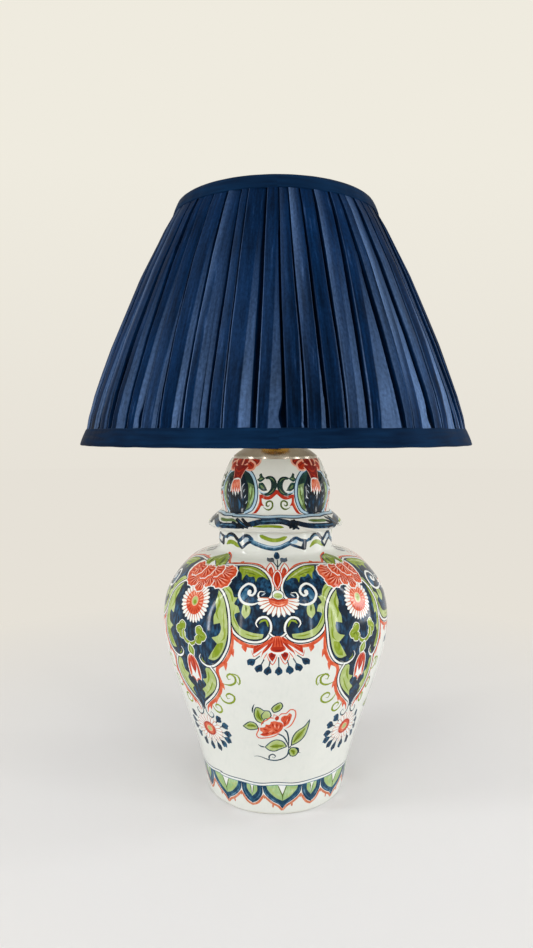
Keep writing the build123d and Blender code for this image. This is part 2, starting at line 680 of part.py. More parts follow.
# Arms of the fitter, welded between its ring and the bottom wire
arm_angles = [90 + index * 360 / ARM_COUNT for index in range(ARM_COUNT)]
arm_drop = FITTER_DROP / (bottom_wire_radius - fitter_radius)
arm_start = (fitter_radius + ARM_RADIUS * arm_drop + ARM_WELD_GAP, fitter_level + FITTER_THICKNESS / 2)
arm_end = (bottom_wire_radius, bottom_wire_level)
arm_length = Vector(arm_end[0] - arm_start[0], arm_end[1] - arm_start[1]).length - WIRE_RADIUS
with BuildPart() as fitter_arms:
    for angle in arm_angles:
        with BuildSketch(wire_plane(arm_start, arm_end, angle)):
            Circle(ARM_RADIUS)
        extrude(amount=arm_length)
fitter_arms.part.label = "fitter_arms"
export_step(fitter_arms.part, "parts/fitter_arms.step")

# Stiff lining inside the frame, notched at the bottom for the arms
cloth_low = shade_level + BINDING_THICKNESS + LAYER_GAP
cloth_high = shade_top_level - BINDING_THICKNESS - LAYER_GAP
notch_height = bottom_wire_level + ARM_RADIUS + lining_inner_inset * arm_drop + ARM_NOTCH_GAP - shade_level
with BuildPart() as shade_lining:
    with BuildSketch(Plane.XZ):
        with BuildLine():
            Polyline(
                (shade_radius(cloth_low) - lining_outer_inset, cloth_low),
                (shade_radius(cloth_high) - lining_outer_inset, cloth_high),
                (shade_radius(cloth_high) - lining_inner_inset, cloth_high),
                (shade_radius(cloth_low) - lining_inner_inset, cloth_low),
                close=True,
            )
        make_face()
    revolve(axis=Axis.Z)
    with BuildSketch(Plane.XY.offset(shade_level)):
        with PolarLocations(bottom_wire_radius, ARM_COUNT, start_angle=arm_angles[0]):
            Rectangle(4 * lining_inner_inset, 2 * (ARM_RADIUS + ARM_NOTCH_GAP))
    extrude(amount=notch_height, mode=Mode.SUBTRACT)
shade_lining.part.label = "shade_lining"
export_step(shade_lining.part, "parts/shade_lining.step")

# Gathered silk: pressed flat under the bindings, pleats standing out between them
pressed_depth = SILK_PRESSED - SILK_LEAST
free_low = shade_level + BOTTOM_BINDING_WIDTH + PLEAT_TURN
free_high = shade_top_level - TOP_BINDING_WIDTH - PLEAT_TURN
with BuildPart() as silk_cover:
    silk_sections = []
    for level in (cloth_low, free_low - PLEAT_TURN):
        silk_sections.append(pleated_section(level, shade_radius(level) - silk_outer_inset, pressed_depth))
    for share, crest, depth in PLEAT_SHAPE:
        level = between(free_low, free_high, share)
        silk_sections.append(pleated_section(level, shade_radius(level) + crest, depth))
    for level in (free_high + PLEAT_TURN, cloth_high):
        silk_sections.append(pleated_section(level, shade_radius(level) - silk_outer_inset, pressed_depth))
    loft(silk_sections, ruled=True)
    with BuildSketch(Plane.XZ):
        with BuildLine():
            Polyline(
                (0, cloth_low),
                (shade_radius(cloth_low) - silk_inner_inset, cloth_low),
                (shade_radius(cloth_high) - silk_inner_inset, cloth_high),
                (0, cloth_high),
                close=True,
            )
        make_face()
    revolve(axis=Axis.Z, mode=Mode.SUBTRACT)
silk_cover.part.label = "silk_cover"
export_step(silk_cover.part, "parts/silk_cover.step")

# Bindings: a band over the silk and a lip folded over the wire
lip_inset = lining_outer_inset - LAYER_GAP
with BuildPart() as bottom_binding:
    with BuildSketch(Plane.XZ):
        with BuildLine():
            band_top = shade_level + BOTTOM_BINDING_WIDTH
            lip_top = shade_level + BINDING_THICKNESS
            Polyline(
                (shade_radius(shade_level), shade_level),
                (shade_radius(band_top), band_top),
                (shade_radius(band_top) - BINDING_THICKNESS, band_top),
                (shade_radius(lip_top) - BINDING_THICKNESS, lip_top),
                (shade_radius(lip_top) - lip_inset, lip_top),
                (shade_radius(shade_level) - lip_inset, shade_level),
                close=True,
            )
        make_face()
    revolve(axis=Axis.Z)
bottom_binding.part.label = "bottom_binding"
export_step(bottom_binding.part, "parts/bottom_binding.step")

with BuildPart() as top_binding:
    with BuildSketch(Plane.XZ):
        with BuildLine():
            band_low = shade_top_level - TOP_BINDING_WIDTH
            lip_low = shade_top_level - BINDING_THICKNESS
            Polyline(
                (shade_radius(shade_top_level), shade_top_level),
                (shade_radius(band_low), band_low),
                (shade_radius(band_low) - BINDING_THICKNESS, band_low),
                (shade_radius(lip_low) - BINDING_THICKNESS, lip_low),
                (shade_radius(lip_low) - lip_inset, lip_low),
                (shade_radius(shade_top_level) - lip_inset, shade_top_level),
                close=True,
            )
        make_face()
    revolve(axis=Axis.Z)
top_binding.part.label = "top_binding"
export_step(top_binding.part, "parts/top_binding.step")

# Bulb: contact tip, glass insulator, screw cap and opal glass
tip_level = core_floor_level + CONTACT_HEIGHT + BULB_TIP_GAP
insulator_level = tip_level + BULB_TIP_HEIGHT
bulb_cap_level = insulator_level + BULB_INSULATOR_HEIGHT
bulb_cap_top_level = bulb_cap_level + BULB_CAP_LENGTH
bulb_neck_radius = BULB_CAP_RADIUS - BULB_CAP_WALL - BULB_NECK_GAP
globe_level = tip_level + BULB_LENGTH - BULB_RADIUS
with BuildPart() as bulb_contact:
    with BuildSketch(Plane.XY.offset(tip_level)):
        Circle(BULB_TIP_RADIUS)
    extrude(amount=BULB_TIP_HEIGHT)
    fillet(bulb_contact.faces().sort_by(Axis.Z)[0].edges(), BULB_TIP_HEIGHT / 2)
bulb_contact.part.label = "bulb_contact"
export_step(bulb_contact.part, "parts/bulb_contact.step")

with BuildPart() as bulb_insulator:
    with BuildSketch(Plane.XY.offset(insulator_level)):
        Circle(BULB_TIP_RADIUS)
    with BuildSketch(Plane.XY.offset(bulb_cap_level)):
        Circle(bulb_neck_radius - BULB_TIP_HEIGHT)
    loft()
bulb_insulator.part.label = "bulb_insulator"
export_step(bulb_insulator.part, "parts/bulb_insulator.step")

with BuildPart() as bulb_cap:
    with BuildSketch(Plane.XY.offset(bulb_cap_level)):
        Circle(BULB_CAP_RADIUS)
    extrude(amount=BULB_CAP_LENGTH)
    with BuildSketch(Plane.XY.offset(bulb_cap_level + BULB_CAP_WALL)):
        Circle(BULB_CAP_RADIUS - BULB_CAP_WALL)
    extrude(amount=BULB_CAP_LENGTH, mode=Mode.SUBTRACT)
bulb_cap.part.label = "bulb_cap"
export_step(bulb_cap.part, "parts/bulb_cap.step")

flare_cos, flare_sin = cos(radians(BULB_FLARE_ANGLE)), sin(radians(BULB_FLARE_ANGLE))
flare_tangents = ((0, 1), (flare_sin, flare_cos))
neck_low_level = bulb_cap_top_level - BULB_SEAT_DEPTH
with BuildPart() as bulb_glass:
    with BuildSketch(Plane.XZ):
        with BuildLine():
            for inset in (0.0, BULB_GLASS_WALL):
                neck_radius, globe_radius = bulb_neck_radius - inset, BULB_RADIUS - inset
                neck_top = (neck_radius, bulb_cap_top_level + BULB_GLASS_WALL)
                flare_end = (globe_radius * flare_cos, globe_level - globe_radius * flare_sin)
                Line((neck_radius, neck_low_level), neck_top)
                Spline(neck_top, flare_end, tangents=flare_tangents)
                ThreePointArc(flare_end, (globe_radius, globe_level), (0, globe_level + globe_radius))
            Line((bulb_neck_radius, neck_low_level), (bulb_neck_radius - BULB_GLASS_WALL, neck_low_level))
            Line((0, globe_level + BULB_RADIUS), (0, globe_level + BULB_RADIUS - BULB_GLASS_WALL))
        make_face()
    revolve(axis=Axis.Z)
bulb_glass.part.label = "bulb_glass"
export_step(bulb_glass.part, "parts/bulb_glass.step")
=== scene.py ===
from math import cos, pi, radians, sin
from random import Random

import bpy
import numpy as np
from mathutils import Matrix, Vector
from mathutils.bvhtree import BVHTree
from mathutils.geometry import delaunay_2d_cdt

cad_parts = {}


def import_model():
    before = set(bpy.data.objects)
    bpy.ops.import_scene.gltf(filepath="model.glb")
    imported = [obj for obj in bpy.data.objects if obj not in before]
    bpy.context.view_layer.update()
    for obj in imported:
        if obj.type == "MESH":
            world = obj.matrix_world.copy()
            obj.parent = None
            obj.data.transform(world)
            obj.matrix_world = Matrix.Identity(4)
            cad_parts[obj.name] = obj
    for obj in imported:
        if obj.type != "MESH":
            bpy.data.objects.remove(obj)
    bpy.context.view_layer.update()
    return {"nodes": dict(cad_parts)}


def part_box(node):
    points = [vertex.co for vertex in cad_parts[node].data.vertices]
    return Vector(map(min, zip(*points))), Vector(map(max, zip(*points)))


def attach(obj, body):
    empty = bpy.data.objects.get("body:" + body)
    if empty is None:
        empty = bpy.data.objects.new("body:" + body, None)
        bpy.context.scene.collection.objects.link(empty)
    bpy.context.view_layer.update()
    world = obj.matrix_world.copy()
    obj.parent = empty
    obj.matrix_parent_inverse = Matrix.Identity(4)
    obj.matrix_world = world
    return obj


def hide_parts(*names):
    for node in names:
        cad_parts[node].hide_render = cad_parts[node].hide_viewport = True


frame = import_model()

# Pottery table lamp: painted jar and lid, gathered silk shade, metal fittings.
# Meshes are in metres. The painting is drawn in millimetres on the unrolled pottery: x along the girth,
# measured at GIRTH_RADIUS from the front to the right, and s up the side from the foot.
MM = 0.001
GIRTH_RADIUS = 100.0
GIRTH = 2 * pi * GIRTH_RADIUS
QUARTER = GIRTH / 4
SIDE_ANGLE = pi / 4

# Painting, in mm: steps along an edge, a brush line and a profile, then grid, relief and seam of the glaze
EDGE_STEP = 1.4
LINE_STEP = 2.3
PROFILE_STEP = 0.5
GLAZE_GRID = 4.2
GLAZE_PROUD = 0.35
SEAM = -2.2 * GIRTH_RADIUS
# Points closer than the first are one point to the triangulation, and the second tells those on the seam
SAME_POINT = 0.002
ON_SEAM = 0.003
# Levels in mm at which the profiles of the jar and the lid are read from the frame
JAR_LEVELS = (2, 9, 16.3, 30, 44, 65, 86.4, 100, 112.5, 126, 138.6, 151, 163, 172, 180.7, 188, 194.7, 201,
              206.3, 210.5, 214.2, 217.2, 219.7, 222, 224.6, 228, 233, 238, 242)
LID_LEVELS = (245.3, 246.2, 247.4, 249.5, 252.6, 256, 258.3, 259.6, 262, 266, 273, 279, 284, 290, 295, 299,
              302, 304.5, 306.2)
# Corner radius as a share of the radius to a flat side, at levels in mm
JAR_ROUNDNESS = ((0, 163, 214, 226), (0.93, 0.80, 0.80, 0.86))
LID_ROUNDNESS = ((245, 307), (0.82, 0.82))
# Up the unrolled side, in mm: first levels of the jar and the lid, the jar's neck, and the hole for the cord
JAR_START = 2.0
LID_START = 0.2
NECK_FOOT = 255.0
CORD_HOLE_UP = 8.6
CORD_HOLE_WIDTH = 22.4
CORD_HOLE_HEIGHT = 14.4
CORD_HOLE_POINTS = 28
# Repeats round the girth, in mm: offset from the front, and how far a motif may reach to either side
FOOT_OFFSET = 8
FOOT_REACH = 45
JAR_OFFSET = 1
JAR_REACH = 90
DOME_OFFSET = 1.4
LID_REACH = 125
# Steps in the number of the hand, so that panels wander in other ways than the motifs between them
DROP_HAND = 7
DOME_HAND = 5

# Paints: colour where the brush leaves it thick, and where it runs thin
PAINTS = {
    "glaze": ("e4e6e0", "dfe2dc"),
    "white": ("eceeea", "e2e7e7"),
    "wash": ("b4c6d2", "d2dde2"),
    "navy": ("061c30", "27608a"),
    "ink": ("061420", "0f2c40"),
    "teal": ("073450", "306c8c"),
    "bottle": ("122e2c", "2f5c50"),
    "blue": ("26597c", "7aa5bd"),
    "pale_blue": ("a8c8dc", "c8dce8"),
    "outline": ("0d3040", "3c6a7c"),
    "lime": ("7f961a", "a6b650"),
    "leaf": ("a9bb70", "cdd6a8"),
    "mint": ("98ba7c", "c0d6ac"),
    "moss": ("4d6014", "6f8430"),
    "sage": ("5e7a4a", "94a97e"),
    "coral": ("cf4c28", "ea8c66"),
    "red": ("ac2408", "cc4320"),
    "deep_red": ("780f0c", "a82a20"),
    "salmon": ("e9a58a", "f4cdbb"),
    "rust": ("c9704a", "e2aa90"),
}


# Curves and shapes for the brush

# Marks a corner in a list of points
C = True


def hump(value, centre, reach):
    """Smooth rise to 1 round a centre."""
    return np.exp(-(((value - centre) / reach) ** 2))


def curve(points, closed=False, step=EDGE_STEP):
    """Smooth line through the points. A point marked C is a corner."""
    knots = []
    for x, s, *corner in points:
        knots += [Vector((x, s))] * (2 if corner else 1)
    count = len(knots)
    line = []
    for index in range(count if closed else count - 1):
        if closed:
            before, start, end, after = (knots[(index + k) % count] for k in (-1, 0, 1, 2))
        else:
            before, after = knots[max(index - 1, 0)], knots[min(index + 2, count - 1)]
            start, end = knots[index], knots[index + 1]
        run = (end - start).length
        if run < 1e-6:
            continue
        leave = (end - before) * run / (run + (start - before).length)
        arrive = (after - start) * run / (run + (after - end).length)
        parts = max(1, round(run / step))
        for part in range(parts):
            t = part / parts
            line.append(
                start * (2 * t**3 - 3 * t**2 + 1)
                + end * (3 * t**2 - 2 * t**3)
                + leave * (t**3 - 2 * t**2 + t)
                + arrive * (t**3 - t**2)
            )
    if not closed:
        line.append(knots[-1])
    return line


def even(half):
    """Outline that is even about the centre line, from its right half. Points on the line are taken once."""
    return half + [(-x, *rest) for x, *rest in reversed(half) if x]


def leaf_outline(base, tip, width, belly):
    """Pointed leaf from base to tip."""
    base, tip = Vector(base), Vector(tip)
    middle = base.lerp(tip, belly)
    across = (tip - base).orthogonal().normalized() * width / 2
    return [(*base, C), middle + across, (*tip, C), middle - across]


class Pen:
    """Brush that works from a motif's centre line, mirrored for side -1, with a hand's small wander."""

    # Hand's wander in mm, and for aside and up the lengths of its two waves and its step from hand to hand
    WANDER = 0.5
    WANDER_ASIDE = (7.3, 31, 2.1)
    WANDER_UP = (8.7, 23, 1.3)
    # Levels of the jar between which its painting slips, in full between the inner two
    SLIP_LEVELS = (55, 95, 240, 252)
    # Slips to the left and up, each with its centre along the girth and its reach
    SLIP_LEFT = 18
    SLIP_LEFT_AT = (126, 25)
    SLIP_UP = 2.4
    SLIP_UP_AT = (79, 32)
    # Share of its width that a thinned end of a stroke keeps
    THIN = 0.25
    # Dark edge on each side of a scroll
    SCROLL_EDGE = 0.9
    # Height of a petal's scallops as a share of their chord
    SCALLOP = 0.24

    def __init__(self, surface, shapes, centre, side=1, hand=0):
        self.surface = surface
        self.shapes = shapes
        self.centre = centre
        self.side = side
        self.hand = hand

    def mirrored(self):
        return Pen(self.surface, self.shapes, self.centre, -self.side, self.hand)

    def wander(self, along, across, waves):
        short, long, step = waves
        return self.WANDER * sin(along / short + across / long + step * self.hand)

    def place(self, points):
        """Points where the hand puts them on the unrolled surface."""
        placed = []
        for x, s in points:
            x = self.side * x
            aside = self.wander(s, x, self.WANDER_ASIDE)
            up = self.wander(x, s, self.WANDER_UP)
            if self.surface.slips:
                on_body = np.interp(s, self.SLIP_LEVELS, (0, 1, 1, 0))
                aside -= self.SLIP_LEFT * on_body * hump(self.centre + x, *self.SLIP_LEFT_AT)
                up += self.SLIP_UP * on_body * hump(self.centre + x, *self.SLIP_UP_AT)
            placed.append(Vector((self.centre + x + aside, s + up)))
        return placed

    def fill(self, points, paint):
        self.shapes.append((self.place(points), paint))

    def shape(self, points, paint):
        self.fill(curve(points, closed=True), paint)

    def blob(self, x, s, across, up, paint, turn=0.0, count=16, ragged=0.0):
        tilt = radians(turn)
        ring = []
        for index in range(count):
            angle = 2 * pi * index / count
            swell = 1 + ragged * sin(5 * angle + x + s)
            u, v = across * swell * cos(angle), up * swell * sin(angle)
            ring.append((x + u * cos(tilt) - v * sin(tilt), s + u * sin(tilt) + v * cos(tilt)))
        self.fill(ring, paint)

    def line(self, points, width, paint, thin_start=0.0, thin_end=0.0):
        """Line of a true width. Over each thin share of its length it narrows towards that end."""
        route = self.place(curve(points, step=LINE_STEP))
        last = len(route) - 1
        edges = []
        for index, point in enumerate(route):
            scale = self.surface.scale(point.y)
            run = route[min(index + 1, last)] - route[max(index - 1, 0)]
            along = Vector((run.x * scale, run.y)).normalized()
            share = index / last
            press = min(1.0, self.THIN + (1 - self.THIN) * share / thin_start) if thin_start else 1.0
            lift = min(1.0, self.THIN + (1 - self.THIN) * (1 - share) / thin_end) if thin_end else 1.0
            across = Vector((-along.y / scale, along.x)) * width / 2 * min(press, lift)
            edges.append((point + across, point - across))
        for (a, b), (c, d) in zip(edges, edges[1:]):
            self.shapes.append(([a, b, d, c], paint))

    def stroke(self, points, width, paint, thin=0.3):
        """Line that thins alike at both ends."""
        self.line(points, width, paint, thin, thin)

    def strokes(self, lines, width, paint, thin=0.3):
        """Several strokes of one brush."""
        for points in lines:
            self.stroke(points, width, paint, thin)

    def scroll(self, points, width=1.7):
        """Reserved white line between dark edges."""
        for across, paint in ((width + 2 * self.SCROLL_EDGE, "ink"), (width, "white")):
            self.line(points, across, paint, 0.0, 0.12)

    def outlined(self, points, paint, edge_paint="outline", width=0.9):
        """Filled shape with a drawn edge."""
        self.shape(points, paint)
        self.line(list(points) + [points[0]], width, edge_paint)

    def leaf(self, base, tip, width, paint, edge_paint=None, belly=0.45):
        points = leaf_outline(base, tip, width, belly)
        if edge_paint:
            self.outlined(points, paint, edge_paint)
        else:
            self.shape(points, paint)

    def petals(self, x, s, reach, count, first, last, paint, line_paint, hollow, drawn=False):
        """Ring of narrow petals, reach (across, up), between two bearings in degrees.

        Drawn petals have an outline, and others only a line between them.
        """
        step = (last - first) / count
        mean = sum(reach) / 2
        middle = (1 + hollow) / 2
        long, broad = (1 - middle) * mean, middle * mean * radians(abs(step)) / 2

        def at(share, bearing):
            angle = radians(bearing)
            return (x + share * reach[0] * cos(angle), s + share * reach[1] * sin(angle))

        for index in range(count):
            bearing = first + (index + 0.5) * step
            place = at(middle, bearing)
            turn = np.degrees(np.arctan2(place[1] - s, place[0] - x))
            self.blob(*place, long, broad * 1.06, line_paint if drawn else paint, turn, 12)
            if drawn:
                self.blob(*place, long * 0.92, broad * 0.8, paint, turn, 12)
        for index in range(0 if drawn else count + 1):
            bearing = first + index * step
            self.line([at(hollow, bearing), at(0.93, bearing)], 0.9, line_paint, 0.0, 0.5)

    def petal(self, base, arc):
        """Coral petal from its base to an arc of scallops, with strokes along it and a white edge."""
        base = Vector(base)
        knots = [Vector(point) for point in arc]
        middle = sum(knots, Vector((0, 0))) / len(knots)
        edge = []
        for start, end in zip(knots, knots[1:]):
            run = end - start
            out = run.orthogonal()
            out *= self.SCALLOP if out.dot(middle - base) > 0 else -self.SCALLOP
            edge += [(*start, C), tuple(start.lerp(end, 0.5) + out)]
        edge.append((*knots[-1], C))
        self.shape([(*base, C)] + edge, "coral")
        for start, end in zip(knots, knots[1:]):
            for share, paint, width in ((0.05, "red", 1.7), (0.5, "salmon", 0.8)):
                goal = start.lerp(end, share)
                self.line([base.lerp(goal, 0.25), base.lerp(goal, 0.86)], width, paint, 0.3, 0.5)
        self.stroke(edge, 1.0, "white", 0.1)

    def bud(self, x, s, bearing, length, width, stem):
        """Dark lozenge bud with a ragged end, on a short stem towards its flower."""
        out = Vector((cos(radians(bearing)), sin(radians(bearing))))
        aside = Vector((-out.y, out.x))
        middle = Vector((x, s))

        def at(along, across, *corner):
            return (*(middle + out * along * length + aside * across * width), *corner)

        self.line([middle - out * (length / 2 + stem), middle - out * length / 3], 1.0, "outline")
        self.shape([at(-0.5, -0.12, C), at(-0.1, -0.46), at(0.16, -0.5, C), at(0.3, -0.22), at(0.5, -0.1, C),
                    at(0.42, 0.14), at(0.24, 0.46, C), at(-0.08, 0.48), at(-0.5, 0.12, C)], "teal")
        self.stroke([at(-0.3, -0.1), at(0.3, 0.1)], width * 0.36, "navy")


# The pottery's unrolled surface, taken from the frame

def cad_tree(node):
    mesh = frame["nodes"][node].data
    return BVHTree.FromPolygons([v.co for v in mesh.vertices], [p.vertices for p in mesh.polygons])


class Pottery:
    """Smooth eight-sided surface through a node's own profile, as places for x and s."""

    def __init__(self, node, levels, start, turn, roundness, slips=False):
        tree = cad_tree(node)
        self.slips = slips
        facing = Vector((sin(turn), -cos(turn), 0))
        profile = []
        for level in levels:
            hit = tree.ray_cast(facing + Vector((0, 0, level * MM)), -facing)[0]
            profile.append((hit.xy.length / MM, level))
        line = np.array(curve(profile, step=PROFILE_STEP))
        runs = np.hypot(*np.diff(line, axis=0).T)
        self.s = start + np.concatenate([[0.0], np.cumsum(runs)])
        self.r, self.z = line.T
        self.turn = turn
        self.roundness = roundness

    def scale(self, s):
        """Real length of 1 mm along the drawn girth."""
        return float(np.interp(s, self.s, self.r)) / GIRTH_RADIUS

    def places(self, x, s):
        """Points in mm on flat sides with round corners between them."""
        flat = np.interp(s, self.s, self.r)
        z = np.interp(s, self.s, self.z)
        corner = np.interp(z, *self.roundness) * flat
        angle = x / GIRTH_RADIUS
        off = np.abs((angle - self.turn + SIDE_ANGLE / 2) % SIDE_ANGLE - SIDE_ANGLE / 2)
        centre = (flat - corner) / cos(SIDE_ANGLE / 2)
        back = SIDE_ANGLE / 2 - off
        on_corner = centre * np.cos(back) + np.sqrt(np.maximum(corner**2 - (centre * np.sin(back)) ** 2, 0))
        on_flat = flat / np.cos(off)
        radius = np.where(flat * np.tan(off) < (flat - corner) * np.tan(SIDE_ANGLE / 2), on_flat, on_corner)
        return np.stack([radius * np.sin(angle), -radius * np.cos(angle), z], axis=1)

    def normals(self, x, s, reach=1.2):
        along = self.places(x + reach, s) - self.places(x - reach, s)
        up = self.places(x, s + reach) - self.places(x, s - reach)
        square = np.cross(along, up)
        return square / np.linalg.norm(square, axis=1, keepdims=True)


def within(outline, spots):
    """Whether each spot lies inside the outline, by its winding."""
    starts = np.array([point[:] for point in outline])
    runs = np.roll(starts, -1, axis=0) - starts
    off_x = spots[None, :, 0] - starts[:, 0, None]
    off_y = spots[None, :, 1] - starts[:, 1, None]
    turn = runs[:, 0, None] * off_y - runs[:, 1, None] * off_x
    rising = (off_y >= 0) & (off_y < runs[:, 1, None]) & (turn > 0)
    falling = (off_y < 0) & (off_y >= runs[:, 1, None]) & (turn < 0)
    return rising.sum(axis=0) != falling.sum(axis=0)


def triangulate(shapes, low, high, hole):
    """Triangles of the unrolled surface and the paint on each, with the seam closed.

    Also gives, for each drawn point of the border and the hole, the number of the point that stands for it.
    """
    columns = round(GIRTH / GLAZE_GRID)
    rows = round((high - low) / GLAZE_GRID)
    left, right = SEAM, SEAM + GIRTH
    across = [left + GIRTH * i / columns for i in range(columns + 1)]
    up = [low + (high - low) * j / rows for j in range(rows + 1)]
    border = [(x, low) for x in across] + [(right, s) for s in up[1:]]
    border += [(x, high) for x in across[-2::-1]] + [(left, s) for s in up[-2:0:-1]]
    shapes = [shape for shape in shapes if any(left < point[0] < right for point in shape[0])]
    points, edges = [], []
    for outline in [border, hole] + [outline for outline, _ in shapes]:
        first = len(points)
        points.extend(Vector(point) for point in outline)
        edges.extend((index, index + 1) for index in range(first, len(points) - 1))
        if outline:
            edges.append((len(points) - 1, first))
    for j in range(1, rows):
        shift = (j % 2) / 2
        points.extend(Vector((x + shift * GIRTH / columns, up[j])) for x in across[1:-1])
    found, _, corners, origins, _, _ = delaunay_2d_cdt(points, edges, [], 0, SAME_POINT)
    places = np.array([point[:] for point in found])
    # Points on the right of the seam become those on its left
    order = np.arange(len(found))
    seam = np.flatnonzero(abs(places[:, 0] - left) < ON_SEAM)
    for index in np.flatnonzero(abs(places[:, 0] - right) < ON_SEAM):
        order[index] = seam[np.argmin(abs(places[seam, 1] - places[index, 1]))]
    corners = np.array([corner for corner in corners if len(corner) == 3])
    middles = places[corners].mean(axis=1)
    keep = (middles[:, 0] > left) & (middles[:, 0] < right) & (middles[:, 1] > low) & (middles[:, 1] < high)
    if hole:
        keep &= ~within(hole, middles)
    keep &= np.array([len(set(corner)) == 3 for corner in order[corners].tolist()])
    sorted_by_x = np.flatnonzero(keep)[np.argsort(middles[keep, 0])]
    triangles, spots = order[corners[sorted_by_x]], middles[sorted_by_x]
    paints = ["glaze"] * len(triangles)
    for outline, paint in shapes:
        reach = [point[0] for point in outline]
        first, last = np.searchsorted(spots[:, 0], (min(reach), max(reach)))
        for index in np.flatnonzero(within(outline, spots[first:last])):
            paints[first + index] = paint
    used, renumbered = np.unique(triangles, return_inverse=True)
    number = dict(zip(used.tolist(), range(len(used))))
    marks = {}
    for index, drawn in enumerate(origins):
        for origin in drawn:
            if origin < len(border) + len(hole) and order[index] in number:
                marks[origin] = number[order[index]]
    return places[used], renumbered.reshape(-1, 3).tolist(), paints, marks


def rgb(colour):
    """Linear values of a hex colour, with its alpha."""
    values = [int(colour[i:i + 2], 16) / 255 for i in (0, 2, 4)]
    return (*(v / 12.92 if v < 0.04045 else ((v + 0.055) / 1.055) ** 2.4 for v in values), 1.0)


def mesh_object(name, points, faces, material):
    mesh = bpy.data.meshes.new(name)
    mesh.from_pydata(points, [], faces)
    mesh.polygons.foreach_set("use_smooth", [True] * len(mesh.polygons))
    mesh.materials.append(material)
    made = bpy.data.objects.new(name, mesh)
    bpy.context.scene.collection.objects.link(made)
    return made


def painted_skin(name, surface, shapes, material, hole):
    """Closed glaze coat, half in and half proud of the clay, with a colour on each face."""
    low, high = surface.s[0], surface.s[-1]
    places, faces, paints, marks = triangulate(shapes, low, high, hole)
    inside, inner_faces, _, inner_marks = triangulate([], low, high, hole)
    first = len(places)
    partner = {marks[origin]: first + inner_marks[origin] for origin in marks.keys() & inner_marks.keys()}
    edges = {(a, b) for triangle in faces for a, b in zip(triangle, triangle[1:] + triangle[:1])}
    onward = {a: b for a, b in edges if (b, a) not in edges}
    # Faces that join the outside to the inside along the coat's edges
    rim = []
    for start in onward:
        if start in partner:
            chain = [start, onward[start]]
            while chain[-1] not in partner:
                chain.append(onward[chain[-1]])
            rim.append(chain[::-1] + [partner[start], partner[chain[-1]]])
    everything = np.concatenate([places, inside])
    normals = surface.normals(*everything.T)
    proud = np.where(np.arange(len(everything)) < first, GLAZE_PROUD, -GLAZE_PROUD)
    solid = (surface.places(*everything.T) + normals * proud[:, None]) * MM
    all_faces = faces + [[c + first, b + first, a + first] for a, b, c in inner_faces] + rim
    made = mesh_object(name, solid.tolist(), all_faces, material)
    mesh = made.data
    mesh.normals_split_custom_set_from_vertices(normals.tolist())
    for index, title in enumerate(("paint", "thin")):
        colours = {paint: rgb(pair[index]) for paint, pair in PAINTS.items()}
        table = []
        for face, corners in enumerate(all_faces):
            table.extend(colours[paints[face] if face < len(faces) else "glaze"] * len(corners))
        mesh.color_attributes.new(title, "FLOAT_COLOR", "CORNER").data.foreach_set("color", table)
    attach(made, "base")


# Motifs of the jar, each drawn from its own centre line

